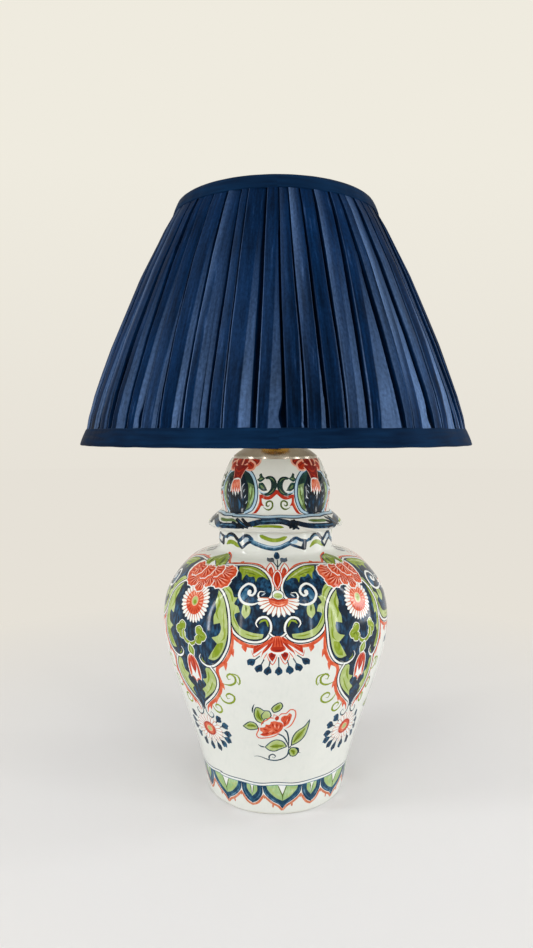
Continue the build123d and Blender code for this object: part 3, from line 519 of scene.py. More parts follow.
def cartouche(pen):
    """Half of the dark field between two drop panels, with its scrolls, leaves and buds."""
    pen.line([(60, 237), (50, 238.4), (40, 239.4), (30, 239), (20, 236), (13, 231), (9, 228)], 2.2, "coral",
             0.1, 0.3)
    pen.leaf((45, 238.5), (44.5, 243), 5, "coral")
    pen.line([(39.5, 182), (34, 172.4), (26, 167.4), (17, 166), (8, 168.5)], 2.8, "coral", 0.2, 0.3)
    pen.leaf((27, 168.5), (25.5, 161), 4.5, "coral")
    pen.leaf((37, 177.5), (37.5, 171), 3.5, "coral")
    pen.shape([(0, 203, C), (10, 203), (6, 206.5), (4.6, 212), (6.5, 219.5), (12.5, 226.5), (21.5, 231.5),
               (31, 234.5), (41, 235), (52, 234, C), (47, 226), (47, 219), (52, 213), (58, 210.5, C),
               (50, 207.5), (44, 202), (40.5, 194), (38.5, 184), (34, 176.5), (26, 171.5), (16, 170),
               (9, 172), (5, 174.5), (0, 173, C)], "navy")
    pen.shape([(43, 233.5, C), (31, 234), (21, 230.8), (13, 226), (8.5, 219.5, C), (12, 221.5),
               (14.5, 222.5), (19, 221.5), (20.5, 217.5, C), (23, 222.5), (28, 222.5), (31.5, 225),
               (34.5, 219, C), (36.5, 225), (41, 229)], "lime")
    pen.stroke([(39, 231.5), (29, 230.6), (20, 227), (12.5, 222.5)], 1.4, "leaf")
    pen.stroke([(34, 227), (27, 226), (21, 224)], 1.0, "moss")
    pen.shape([(56, 210.7, C), (47, 213), (41.5, 209), (38.5, 204), (35, 204, C), (37, 198.5), (33.5, 197),
               (31, 192.5, C), (35, 190.5), (33, 186), (29, 180.5), (20, 177), (11, 175.5, C), (12, 172.5),
               (21, 172), (29, 174.5), (35, 181), (38.5, 188), (40, 194.5), (44, 202.5), (49, 207.5)],
              "leaf")
    pen.stroke([(49, 211), (42.5, 207), (38.5, 200)], 1.6, "lime")
    pen.strokes([[(36, 195), (35.5, 188), (30, 179.5)], [(25, 176), (19, 174.3), (14, 174)]], 1.2, "lime")
    pen.shape([(28.5, 200), (23.5, 197), (23, 191), (26, 187.5, C), (29.5, 192)], "leaf")
    pen.stroke([(27, 198), (26, 193)], 1.6, "moss")
    # White curl over a blue patch
    curl = [(14, 201), (22, 198.6), (30, 200.4), (34.3, 206), (33, 212), (27.5, 216), (22, 214), (20, 209.5),
            (22.6, 206), (26.2, 207.4), (25.8, 210)]
    pen.blob(29, 207, 3.0, 5.4, "blue", 20)
    pen.line(curl, 2.0, "white", 0.2, 0.0)
    pen.blob(25.4, 208.8, 1.9, 2.0, "white")
    pen.scroll([(63, 234), (51, 235.3), (41, 236.5), (31, 236), (21, 232.9), (12, 227.5), (6, 220), (4, 212),
                (6, 205), (10.5, 201.8), (15, 202.3), (17.5, 205.5), (16, 209), (11.5, 208.5)])
    pen.line([(14.5, 205.5), (11, 207.6)], 1.3, "wash", 0.2, 0.3)
    pen.scroll([(39, 188), (37.5, 182), (34, 176), (26, 171), (16, 169.5), (9, 172), (5.5, 178), (6, 184),
                (10, 188.5), (15, 187.8), (17.3, 184), (15.5, 181)])
    pen.stroke([(7.6, 181), (9.5, 186), (13.2, 185.6), (14.8, 183.8)], 1.5, "lime", 0.2)
    for width, paint in ((2.6, "ink"), (1.3, "white")):
        pen.line([(6.3, 176), (3.5, 173.5), (0, 172.4)], width, paint)
    # Red buds and trefoils above
    bud = [(2.6, 221, C), (8.4, 226), (12.2, 231.4), (9, 241.8, C), (5, 236), (2.4, 229)]
    pen.outlined(bud, "white", "coral", 1.0)
    pen.shape([(3.8, 222.6, C), (8, 226.2), (9.8, 230.2), (7.4, 235, C), (5, 230.6)], "red")
    pen.line([(5.4, 225.6), (7, 231.4)], 1.3, "coral", 0.2, 0.3)
    pen.line([(0, 234), (3, 239), (6, 244.5)], 1.1, "outline")
    pen.shape([(4.4, 243.2, C), (10, 242.8), (14.4, 246), (15.4, 252.4, C), (11.4, 251.2), (8, 252.4),
               (5, 251.6, C), (4.2, 247)], "navy")
    # Half of the hanging lotus and its buds
    pen.shape([(3.4, 173.6, C), (8, 170.6), (13, 168), (18.4, 166.4), (19.8, 159.8, C), (14, 163.4),
               (9, 166.4), (3.4, 171)], "red")
    pen.strokes([[(5, 172), (10, 168.6), (17, 164.6)], [(5.6, 170), (11, 166.4), (15.4, 163)]], 1.2, "coral")
    pen.stroke([(6.4, 167.8), (13, 163.4), (19, 158.8)], 1.2, "white", 0.2)
    pen.stroke([(12.6, 162.8), (17, 159), (19.4, 157.8), (20.8, 163)], 0.7, "coral", 0.2)
    pen.shape([(2.6, 171.8, C), (5, 166.8), (8, 163.6), (11.6, 160.8), (13.8, 156.8, C), (12, 162.4),
               (8.4, 166.6), (4.6, 170.6)], "coral")
    pen.strokes([[(3.6, 170), (7, 165.4), (12, 160.6)], [(5.6, 168.4), (9.6, 164.4)]], 1.3, "red")
    pen.stroke([(2.4, 172.4), (3, 167.4), (5, 163.8), (8.6, 160.6), (11.8, 156.6)], 1.3, "white", 0.1)
    pen.strokes([[(8.4, 161), (10.6, 158), (12.2, 155.2)],
                 [(1, 158.4), (2.4, 154.6), (5, 150.8), (7.8, 155), (9, 159)]], 0.8, "coral", 0.2)
    pen.shape([(2, 159.8), (5, 161), (7.8, 159.8), (7.4, 157), (5, 153.4, C), (2.8, 156.6)], "red")
    pen.blob(5, 158.4, 1.7, 1.5, "deep_red")
    for x, s, bearing in ((8.6, 145.6, -78), (15.6, 147.8, -62), (21.6, 153, -38)):
        pen.bud(x, s, bearing, 7.8, 6.4, 5.0)


def cartouche_middle(pen):
    """Half daisy, buds and heart of the lotus on the centre line."""
    pen.petals(0, 203, (18.6, 14.4), 13, -184, 4, "white", "rust", 0.42)
    pen.shape([(-8.6, 203.3, C), (8.6, 203.3, C), (7, 198.6), (0, 196.2), (-7, 198.6)], "coral")
    pen.stroke([(-7.6, 202.6), (0, 201.6), (7.6, 202.6)], 1.8, "red", 0.2)
    pen.stroke([(-5.5, 199.2), (0, 197.6), (5.5, 199.2)], 0.9, "salmon")
    for s, across, up, paint in ((206.6, 5.6, 4.6, "ink"), (206.4, 4.9, 4.0, "white"),
                                 (205.6, 4.0, 2.5, "leaf")):
        pen.blob(0, s, across, up, paint)
    pen.stroke([(-2.6, 205), (0, 204.6), (2.6, 205)], 0.9, "lime")
    pen.outlined(even([(0, 210.5, C), (4.6, 219), (3.8, 227), (0, 231)]), "white", "coral", 0.9)
    pen.shape(even([(0, 212, C), (3.2, 219.5), (2.6, 226), (0, 229)]), "red")
    pen.stroke([(0.6, 216), (0.8, 224)], 1.1, "coral")
    pen.line([(0, 231), (0, 240), (0.3, 248)], 0.9, "ink")
    pen.shape(even([(0, 248.6, C), (4.4, 252.4), (4.6, 256), (2, 258.6, C)]), "navy")
    pen.shape([(-3, 173), (3, 173), (4.4, 167), (6.2, 164), (5, 162), (0, 160.8), (-5, 162), (-6.2, 164),
               (-4.4, 167)], "coral")
    pen.strokes([[(x * 0.9, 172.4), (x * 1.3, 168), (x * 1.8, 164.6)] for x in (-2.4, -0.8, 0.8, 2.4)], 1.1,
                "red", 0.2)
    pen.shape([(-5.2, 164.6), (0, 165.2), (5.2, 164.6), (4, 162.2), (0, 161.2), (-4, 162.2)], "red")
    pen.stroke([(-3, 162.8), (0, 162.2), (3, 162.8)], 1.2, "deep_red")
    pen.stroke([(-6.2, 162.6), (-3.6, 160.6), (0, 159.8), (3.6, 160.6), (6.2, 162.6)], 1.5, "white", 0.2)
    pen.bud(0, 145, -90, 7.8, 6.2, 8.0)


def drop_panel(pen):
    """Half of a dark drop-shaped panel with leaves inside its scrolls."""
    shadow = [(41.6, 180), (42.1, 168), (40.9, 159), (35.8, 149.5), (28.6, 143.5), (28, 137), (29.2, 131),
              (26.8, 121.5), (21, 113), (13.5, 106), (7.5, 100.5), (5, 95)]
    pen.line(shadow, 3.0, "coral", 0.1, 0.15)
    for base, tip in (((41.6, 163), (43.6, 155)), ((36.5, 151), (36.3, 142)), ((29.5, 131.5), (31.8, 124)),
                      ((21.5, 115), (20.4, 108)), ((12.8, 106), (11.4, 99))):
        pen.leaf(base, tip, 3.8, "coral", None, 0.2)
    pen.shape([(0, 216, C), (20, 214), (27, 208), (34, 201), (38, 192), (39.5, 180), (39, 168), (36, 158),
               (30, 150), (21, 145), (22.5, 141), (25.5, 134), (24, 125.5), (18, 116.5), (10, 109), (4, 103),
               (0, 96, C)], "navy")
    pen.shape([(23, 210.5, C), (32.5, 200.5), (36.8, 190), (38.4, 180), (37.6, 170), (35, 160), (31, 153.5),
               (26, 150.3), (20.5, 151, C), (24.5, 157), (29.5, 164.5, C), (24, 169, C), (30, 171.5),
               (32.5, 177), (31.5, 181.5, C), (25.6, 179.6, C), (25.3, 186), (27, 191), (25, 197),
               (25, 203)], "leaf")
    pen.shape([(29.5, 164.5, C), (34.5, 166), (33.5, 160), (29.5, 154), (24, 151.8, C), (25.5, 157)], "lime")
    pen.stroke([(25, 204), (29, 197), (27.6, 189), (30, 184)], 2.2, "lime")
    pen.stroke([(33.5, 192), (35, 183), (34.6, 174)], 1.0, "lime")
    pen.line([(36, 178), (35.4, 170), (32.6, 167)], 1.6, "lime", 0.2, 0.4)
    pen.shape([(22.5, 142.5), (24.6, 136), (23.8, 128), (19.8, 121), (13.5, 114.6), (6.2, 108.6, C),
               (8.6, 115), (5.6, 118, C), (12, 124.6), (8.8, 129.4, C), (14.4, 132.4), (15.6, 141.4)],
              "leaf")
    pen.line([(17.6, 139), (17, 133), (14, 127)], 1.8, "lime", 0.2, 0.4)
    pen.stroke([(21, 131), (16, 121.4), (9.6, 114)], 1.2, "lime")
    pen.scroll([(23, 210), (30.5, 205), (36.5, 197), (39.5, 188), (40, 178), (39.5, 168), (37.5, 160),
                (32.5, 151), (25.5, 145.5), (18.5, 144), (12.5, 146.3), (10.3, 150), (12.5, 153.5)])
    pen.line([(13.4, 151), (13.6, 148.4), (17, 146.6)], 1.2, "lime", 0.2, 0.3)
    pen.scroll([(21.5, 143.5), (24.8, 139), (26.3, 132.5), (24.5, 125), (18.5, 116), (11.5, 109), (5.5, 104),
                (2.6, 99.5)], 1.8)
    pen.line([(2.6, 99.5), (2.4, 94.5), (6.6, 90.6), (11, 91.6), (12.6, 95), (10, 97), (8.4, 94.6)], 1.2,
             "outline", 0.0, 0.3)
    # Three-lobed leaf, and green curls outside the panel
    for grow, paint in ((0.6, "white"), (0.0, "lime")):
        for x, s in ((10.4, 172.8), (14.4, 168.6), (10.2, 165.2)):
            pen.blob(x, s, 4.1 + grow, 3.9 + grow, paint, 0, 14, 0.05)
    pen.strokes([[(9, 174.6), (11, 175.4), (13, 173.6)], [(13, 170), (16, 169)]], 1.4, "leaf")
    pen.strokes([[(11, 169), (14.6, 167.4)], [(11, 169.6), (9.8, 165)]], 1.0, "moss")
    curls = ([(31.5, 130), (38, 129.6), (43, 132.6), (43.4, 137.4), (39.6, 140), (36.2, 137.4),
              (37.2, 134.6), (39.4, 135.4)],
             [(25.4, 119), (28.4, 113.4), (34, 111.6), (39.4, 114.4), (40, 119), (35.6, 121.4), (32.2, 119),
              (33.6, 116), (35.8, 117)],
             [(14.6, 106), (17, 100.8), (21.6, 99.4), (25.4, 102), (25, 106.2), (21, 107.6), (18.6, 105),
              (20.8, 103.2)])
    pen.strokes(curls, 1.8, "lime", 0.2)
    pen.stroke([(41, 140.4), (46, 139), (47.4, 134.6), (46, 130.6), (44.6, 133.4)], 1.4, "lime", 0.2)


def drop_middle(pen):
    """Flowers on the centre line of a drop panel."""
    pen.petals(1, 194.8, (17.6, 17.2), 28, 0, 360, "white", "rust", 0.5)
    pen.blob(1, 194.8, 10.9, 10.4, "coral", 0, 26)
    for turn in range(0, 360, 20):
        angle = radians(turn)
        ray = [(1 + reach * cos(angle), 194.8 + 0.93 * reach * sin(angle)) for reach in (6, 8.4, 10.8)]
        pen.stroke(ray, 1.2, "red" if 200 < turn < 340 else "salmon", 0.4)
    pen.blob(1, 195.6, 4.4, 4.4, "salmon")
    pen.blob(1, 195.6, 3.6, 3.7, "leaf")
    pen.blob(1.4, 194.8, 2.0, 1.8, "lime")
    # Big leaf over the peony
    pen.stroke([(-12, 254.6), (0, 250), (8, 245), (15, 239), (20, 235.6)], 2.4, "coral", 0.1)
    pen.shape([(-16, 228, C), (13, 228, C), (13.4, 234), (9.4, 241), (2.4, 247), (-8, 251.6),
               (-13, 252.6, C), (-19, 247), (-22, 240), (-20, 233)], "lime")
    pen.strokes([[(-12, 232), (-15, 240), (-12, 249)], [(4, 231), (5, 236), (0, 244)]], 2.4, "moss")
    pen.strokes([[(-6, 239), (-8, 247)], [(9, 230), (9, 237)], [(-17, 234), (-18.6, 240)]], 1.7, "leaf")
    pen.shape([(-9, 228.6, C), (1, 228.6, C), (-2, 233), (-8, 237, C), (-9.6, 233)], "white")
    pen.line([(14, 230), (14, 235), (9.8, 241.8), (2.8, 247.8), (-8, 252.4)], 1.0, "ink")
    pen.line([(-8, 237), (-1, 232.4), (3, 229)], 0.9, "ink", 0.2, 0.3)
    # Peony, from its back petals to its front ones
    pen.shape([(-27, 216), (-25, 229), (-10, 229), (5, 229), (18, 230), (33, 228), (31, 214), (20, 211),
               (6, 210), (0, 206), (-14, 209)], "coral")
    for petal in (((16, 225), [(16, 231.4), (22, 233), (28.6, 233), (33.6, 230.4), (35.6, 226), (34, 221.4),
                               (29.6, 218.4), (23, 217)]),
                  ((13, 219),
                   [(31.6, 219), (32, 214.6), (28.4, 211), (22.6, 209.2), (16.6, 210), (12, 211.6)]),
                  ((-11, 222), [(-11, 231), (-18, 232.4), (-24.6, 230.8), (-28.6, 226), (-29.2, 220),
                                (-27.4, 215), (-22, 212.6)]),
                  ((-9, 218), [(-24, 212.4), (-19.6, 208.8), (-14, 206.8), (-9, 207.4), (-5, 209.6)]),
                  ((4, 226.6),
                   [(5, 231), (11.4, 231.8), (17, 230.6), (18.4, 226), (16, 221.6), (11, 218.4), (6, 217)]),
                  ((-19, 226.6),
                   [(-16, 231), (-10, 229.6), (-9.4, 224), (-12.4, 218.8), (-17.4, 216.6), (-22.6, 217.6)]),
                  ((-7, 226.6),
                   [(-6, 230.6), (0, 231), (4.8, 228.8), (5, 223), (2, 218.4), (-3, 215.6), (-8, 216.6)]),
                  ((6, 219), [(12.4, 216), (13.6, 212), (10, 208.6), (5.2, 208.8), (1.6, 211.6)]),
                  ((-0.4, 215),
                   [(5.4, 212), (5.6, 207), (1.4, 203.6), (-3.4, 204.4), (-6.6, 208), (-5.8, 212.4)])):
        pen.petal(*petal)
    # Stem, green drop and tulip
    stem = [(-8.4, 170.4), (-8.8, 165.4), (-6, 161.4), (0, 159.4), (5, 161.4), (7.6, 165.6)]
    for width, paint in ((3.8, "white"), (2.8, "lime")):
        pen.line(stem, width, paint, 0.1, 0.2)
    pen.leaf((-1.4, 159.6), (3, 148), 8.4, "lime", "white", 0.5)
    pen.stroke([(-0.4, 157), (1.4, 151)], 1.5, "leaf")
    tulip = [(0, 150.4), (5.4, 147), (7.9, 140), (8.1, 132), (7, 126.8, C), (3, 128), (0, 122, C)]
    pen.shape(even(tulip), "white")
    for side in (1, -1):
        petal = ((1.4, 149.4), (5.2, 145.8), (7.2, 139), (7.3, 132), (6.2, 128), (4.4, 131), (4, 139))
        pen.shape([(side * x, s) for x, s in petal], "coral")
        pen.stroke([(side * 3.6, 146), (side * 5.6, 139), (side * 5.8, 131)], 1.3, "red")
        pen.line([(side * 6.4, 128), (side * 2.6, 127.4), (0, 123.6)], 1.2, "coral", 0.2, 0.1)
    pen.shape([(0, 149.4), (2.9, 144), (3.2, 138), (0.4, 132, C), (-2.8, 138), (-2.9, 144)], "red")
    pen.stroke([(-1.2, 146), (-0.6, 138)], 1.2, "coral")
    # Flower under the tail and its ring of buds
    pen.petals(0, 77.5, (20, 13.6), 20, 0, 360, "white", "rust", 0.44, True)
    pen.blob(0, 77.5, 9.4, 6.8, "red", 0, 22)
    pen.blob(0, 77.5, 7.8, 5.4, "coral", 0, 22)
    pen.blob(0, 77.5, 4.4, 3.4, "salmon")
    pen.blob(0, 77.5, 3.2, 2.5, "leaf")
    for x, s in ((17.5, 91), (24, 86), (25.5, 77.8), (24.5, 71), (18, 65.4), (9.5, 60.6), (-2.5, 59.6),
                 (-14, 61), (-23, 65.6), (-27, 72.4), (-27, 79.6), (-22.5, 87.4)):
        out = Vector((x * 0.8, s - 77.5))
        pen.bud(x, s, np.degrees(np.arctan2(out.y, out.x)), 9.2, 7.2, 3.0)


def sprig(pen):
    """Peony sprig low on the jar."""
    for stem in ([(6, 89.5), (9.5, 86), (11.8, 78), (12, 69)], [(0, 84.5), (6, 81.8), (10.5, 75), (12, 69)],
                 [(12, 69), (11, 62.5), (6, 58), (-2, 55.5), (-10, 56.2), (-17, 58.7), (-22, 60),
                  (-26, 59.5)],
                 [(-9.2, 56.2), (-9.4, 60), (-5.5, 62), (-2.4, 60), (-4, 57.8), (-6.3, 59)],
                 [(15, 72), (12, 69)], [(-13, 69.5), (-17, 70), (-20, 72)],
                 [(18, 69.8), (22.4, 68), (23.2, 63.6), (25.5, 63)],
                 [(-23.5, 104), (-23, 109), (-21, 113.5)]):
        pen.line(stem, 1.3, "outline", 0.1, 0.4)
    leaves = (([(15, 72, C), (15.6, 80), (19, 86), (25.5, 90), (30, 96.5, C), (29.3, 87), (27.5, 80),
                (22.5, 75)],
               [(17, 75), (21.5, 81), (26.5, 88)]),
              ([(10, 71, C), (6.5, 76), (0, 77.8), (-6, 75.5), (-13, 69.5, C), (-9, 66.2), (-3, 65.5),
                (3, 68)],
               [(7, 71.6), (0, 71), (-8, 70)]),
              ([(-14, 94, C), (-19.5, 96.5), (-22, 103), (-20, 110), (-16, 109.6), (-13, 107.5),
                (-8.5, 107.5), (-6.5, 103), (-9, 99.5), (-12.5, 99)],
               [(-15, 97), (-18, 102), (-18.5, 107.5)]),
              ([(-18, 88.5, C), (-20.5, 93.5), (-26, 95), (-33, 90.3, C), (-28.5, 87.3), (-24, 87)],
               [(-20.5, 90.5), (-25, 91.5), (-29, 90.6)]),
              ([(-4, 106, C), (-6, 110), (-2, 114), (2.5, 116), (4.3, 112.5), (1, 108)],
               [(-3, 108.6), (0, 111.5), (2, 114)]),
              ([(12, 66), (14.5, 69.5), (19.5, 69), (22.5, 65), (19.5, 60.8), (14, 61)],
               [(14.5, 67), (17.5, 65), (18, 62)]))
    for outline, vein in leaves:
        pen.outlined(outline, "leaf", "outline", 1.0)
        pen.stroke(vein, 4.0, "lime", 0.4)
        pen.line(vein, 0.8, "moss", 0.2, 0.4)
    pen.line([(-13.5, 97.5), (-15.5, 102), (-12.4, 107)], 0.9, "outline", 0.1, 0.3)
    edges = ([(-17.4, 90), (-18.2, 86.6), (-20.4, 82), (-18.6, 79), (-13, 79), (-6, 80.4), (-1, 82.6),
              (2.4, 85.6)],
             [(-15.4, 92), (-14.2, 95.6), (-10.4, 98), (-7.4, 100.6), (-3.8, 100.2)],
             [(-4.2, 101), (-4, 104), (-1, 103)],
             [(0, 102), (3, 105), (7, 105), (11, 108.6), (15, 107.6), (16, 103), (14.4, 97), (12, 92.6),
              (7.6, 89.8)])
    pen.strokes(edges, 1.1, "coral", 0.1)
    pen.shape([(-17, 82.4, C), (-13, 80.8), (-8, 81.6), (-3, 83.4), (1, 85.4), (4.4, 88.6), (5.2, 93),
               (3.4, 96), (0, 96.6, C), (-3, 97.4), (-6.8, 96.4, C), (-7.4, 93.6), (-11.4, 93.4, C),
               (-12, 90.6), (-16.4, 89.8, C), (-16.4, 86.6), (-14, 84.8)], "coral")
    pen.shape([(5.6, 91.2, C), (9.8, 94.4), (11.6, 99), (12.4, 103.6), (9.8, 105.4, C), (8.4, 103.2),
               (5.6, 103.2, C), (3, 101.4), (2.4, 98.4), (4.6, 96)], "coral")
    pen.shape([(-3.4, 100, C), (-1.4, 102.8), (0.8, 101.6), (0.2, 98.8), (-1.6, 97.8)], "red")
    strokes = ([(-15.4, 83), (-11, 83.4), (-7, 86)], [(-13.6, 88.4), (-9, 87.6)], [(-10, 91.6), (-6, 90)],
               [(-5.6, 83.6), (-2.6, 86.4)], [(-5, 95), (-4, 91.4)], [(-1, 95.4), (-0.6, 91)],
               [(3, 94.4), (2.2, 90)], [(0.6, 87), (-3, 88.6)], [(6, 94), (8, 98)], [(5, 99), (6, 102)],
               [(9.6, 97), (10.4, 102.4)], [(8.2, 99.4), (8.4, 102.6)])
    pen.strokes(strokes, 1.8, "red")
    pen.strokes([[(-9, 85), (-5, 87.4)], [(-3, 93.6), (-2.2, 90)], [(1.4, 93), (0.8, 89.4)],
                 [(7.4, 95.6), (9.2, 100)]], 0.8, "salmon")


def foot_petals(pen):
    """Half of one large and one small petal of the border round the foot."""
    for drip in ((23.8, 18.4), (12.4, 9.8)):
        pen.blob(*drip, 1.4, 2.0, "rust")
    pen.line([(25.2, 21), (20, 16.4), (12.6, 12), (5.6, 9), (0, 4.6)], 2.0, "rust", 0.2, 0.0)
    pen.line([(24.6, 20.6), (28.4, 15.4), (33.4, 11), (40.4, 8.6)], 2.1, "rust", 0.2, 0.0)
    pen.shape([(0, 30, C), (25.6, 30, C), (24.2, 23), (19.4, 18), (12, 13.6), (5, 10.6), (0, 6.2, C)], "teal")
    pen.line([(23.6, 28), (21.6, 22), (15, 17), (7, 12.6), (0, 8.8)], 1.1, "blue", 0.3, 0.2)
    pen.shape([(0, 30, C), (6.2, 29.8, C), (3.2, 25), (0, 19.6, C)], "white")
    pen.shape([(0.2, 14, C), (8, 16.9), (14, 20.8), (18.8, 25.4), (20.4, 29.8, C), (5.6, 29.6, C), (3.2, 25),
               (0.2, 20)], "mint")
    pen.strokes([[(3, 17), (9, 19.6), (16, 25.4)], [(8, 26.6), (13, 25.6), (18.4, 28)]], 1.6, "leaf")
    pen.line([(5.6, 29.4), (2.6, 23.4), (0.2, 19), (0, 13.6)], 0.9, "moss", 0.1, 0.2)
    pen.shape([(25.4, 30, C), (40.4, 30, C), (40.4, 10.2, C), (34, 12.8), (29, 17.2), (26, 22)], "teal")
    pen.line([(28.4, 28.5), (29, 22.4), (33, 17), (37.4, 14)], 1.2, "blue", 0.2, 0.4)
    pen.shape([(36.6, 29.8, C), (38.2, 24), (40, 19, C), (40.4, 29.8, C)], "white")
    pen.shape([(32.2, 29.6, C), (33, 23.4), (40, 17, C), (40, 20), (38.4, 23), (36.6, 29.6, C)], "mint")
    pen.stroke([(33.4, 27.6), (34.6, 22.4)], 1.4, "leaf")
    pen.line([(36.6, 29.4), (38.2, 24), (39.2, 19.4)], 0.8, "moss", 0.1, 0.3)


def foot_rings(pen):
    """One repeat of the lines over the border round the foot."""
    across = np.linspace(-QUARTER / 2 - 2, QUARTER / 2 + 2, 40)
    for drop, width, paint in ((1.5, 1.6, "white"), (0.0, 0.8, "teal"), (2.6, 0.6, "blue")):
        pen.line([(x, 32.0 + 0.2 * cos(x * 8 * pi / QUARTER) - drop) for x in across], width, paint)


def neck_ribbon(pen):
    """One repeat of the ribbon round the neck, with a loop either side of the trough."""

    def stroke(points, width, paint, thin=0.1):
        pen.line([(x, NECK_FOOT + s) for x, s in points], width, paint, thin, thin)

    trough = [(-42, 11.4), (-34, 9.4), (-22, 7.6), (-5, 6.8), (8, 7.6), (18, 9.6), (25, 11.2)]
    stroke(trough, 4.2, "blue", 0.0)
    stroke([(x, s - 1.3) for x, s in trough], 1.5, "teal")
    stroke([(x, s + 1.2) for x, s in trough[1:-1]], 1.0, "pale_blue", 0.3)
    pen.blob(-52, NECK_FOOT + 12.4, 6.4, 2.4, "wash")
    pen.blob(-43, NECK_FOOT + 12.6, 5.0, 3.0, "blue")
    stroke([(-70, 10.6), (-62, 13.6), (-55, 16.4), (-47, 16), (-40, 12.4)], 3.2, "navy")
    stroke([(-58, 15.8), (-52, 17), (-46, 16.2)], 1.8, "ink", 0.3)
    stroke([(-71, 11), (-66, 8), (-61, 5.8), (-56, 7.8), (-49, 10.4), (-41, 11.2)], 2.4, "navy")
    stroke([(-66, 7.2), (-61.6, 5.4), (-57, 6.8)], 1.6, "ink", 0.3)
    pen.blob(28, NECK_FOOT + 12.2, 7.0, 2.6, "pale_blue")
    stroke([(20, 10.6), (27, 13.8), (32, 15), (40, 13.4), (48, 12.8), (55, 12)], 2.6, "navy")
    stroke([(22, 9.2), (32, 7.6), (42, 6.4), (51, 5.8)], 2.4, "navy")
    pen.shape([(x, NECK_FOOT + s, C) for x, s in ((41, 6.4), (45, 12.6), (52, 12.4), (51, 5.6))], "navy")
    stroke([(42, 5.8), (50, 5.2)], 1.8, "ink")
    stroke([(51, 12), (57, 13.4), (61, 12)], 2.8, "blue", 0.3)
    stroke([(57, 12.4), (63, 15.2), (70, 16.6), (78, 15.6), (84, 13), (90, 10.8)], 3.4, "ink")
    stroke([(60, 13.4), (68, 15.4), (78, 14.2)], 1.3, "blue", 0.3)
    stroke([(-28, 17), (-20, 15.6), (-8, 14), (2, 13.8), (10, 14.6), (17, 16)], 3.4, "lime")
    stroke([(58, 6.4), (66, 9.4), (75, 9.6), (84, 7.6), (92, 5.4)], 3.8, "lime", 0.2)


# Motifs of the lid, with s from the flange's lip

def flange_ribbon(pen):
    """One repeat of the interlaced ribbon on the flange."""
    ring = [(x, 16.7) for x in np.linspace(-QUARTER / 2 - 1, QUARTER / 2 + 1, 30)]
    pen.line(ring, 4.4, "navy")
    pen.line([(x, s + 0.3) for x, s in ring], 2.4, "pale_blue")
    pen.stroke([(-44, 4.4), (-34, 8.4), (-24, 11.2), (0, 11.6), (14, 10.2), (24, 7), (32, 3.4)], 6.4, "navy",
               0.15)
    pen.stroke([(-24, 11.8), (-8, 12.2), (8, 11.6)], 1.2, "blue")
    low = [(22, 12.6), (34, 9.4), (48, 6.4), (62, 4.8), (78.5, 4.4), (95, 4.8), (109, 6.4), (123, 9.4),
           (135, 12.6)]
    pen.stroke(low, 5.6, "navy", 0.1)
    pen.stroke([(58, 5.4), (78.5, 4.9), (99, 5.4)], 1.1, "blue")
    for points, width in (([(-68, 13.6), (-56, 8.6), (-40, 2.8)], 3.36),
                          ([(-58, 13.8), (-48, 9), (-35, 4.6)], 2.64),
                          ([(-72, 9.6), (-60, 6.6), (-46, 2.4)], 2.88),
                          ([(29, 14), (24, 8.6), (18, 3.6)], 3.84),
                          ([(34, 11.8), (28, 6.6), (22, 2.6)], 3.12)):
        pen.line(points, width, "ink", 0.1, 0.2)
    pen.stroke([(-64, 12.4), (-52, 7.4), (-44, 4.4)], 0.9, "blue")
    pen.line([(-34, 5), (-22, 6.4), (-10, 6.8), (2, 5.8), (10, 4.8)], 2.8, "lime", 0.3, 0.1)
    pen.line([(52, 11.6), (60, 10.6), (72, 10), (84, 10.4), (95, 9)], 3.6, "sage", 0.2, 0.3)
    pen.stroke([(56, 11), (66, 10.2), (76, 10)], 1.2, "moss")


def dome_panel(pen):
    """Half of an oval panel on the dome."""
    rim = [(16, 58.6), (28.5, 56), (38.5, 50), (44, 41.5), (42.5, 33), (33.5, 24.4), (19, 19.6)]
    pen.shape([(0, 59.5, C), *rim, (0, 18.6, C)], "ink")
    pen.shape([(16, 57), (27, 54.6), (36.5, 49), (41.6, 41), (40, 33.4), (32, 26), (19, 21, C), (26, 28),
               (28.6, 35), (29, 41), (27, 46), (20, 51)], "sage")
    pen.shape([(12, 57.6, C), (26, 55), (36, 49.6), (39.6, 45, C), (32, 46.6), (24, 47, C), (18, 52)],
              "bottle")
    # Pale green strokes on the leaf: its light green, and a painted reflection of a window
    pen.strokes([[(38, 43), (37, 36), (31, 28)], [(33, 44), (33.4, 37)]], 2.6, "mint")
    pen.strokes([[(36, 44), (35.4, 37), (31, 30.6)], [(24, 24.6), (29, 30)]], 1.3, "moss")
    pen.strokes([[(16 + 2 * k, 43 - 5 * k), (20 + 2 * k, 46 - 5 * k)] for k in range(4)], 0.8, "wash")
    pen.strokes([[(6, 22), (9, 28), (5, 34)], [(14, 24), (17, 31), (14, 36)]], 2.2, "navy")
    pen.line(rim, 3.8, "navy")
    pen.line(rim, 2.0, "pale_blue")
    # Red blossom over the panel
    for petal, paint in (([(16, 73), (40, 72), (45, 67.4), (39, 63.4), (30, 64), (22, 67)], "deep_red"),
                         ([(8, 68), (26, 67), (34.6, 64), (33, 60.2), (24, 58.2), (14, 59.6), (7, 63)],
                          "red"),
                         ([(-2, 73), (12, 72), (18.6, 67.4), (13, 62.8), (-2, 61.8)], "deep_red")):
        pen.outlined(petal, paint, "salmon", 1.7)
    pen.strokes([[(24, 70), (33, 69), (39, 66.6)], [(2, 70), (9, 69), (13, 66)]], 1.6, "red")
    pen.strokes([[(14, 65), (22, 64.4), (29, 62.4)], [(12, 62.4), (18, 61)]], 1.6, "deep_red")


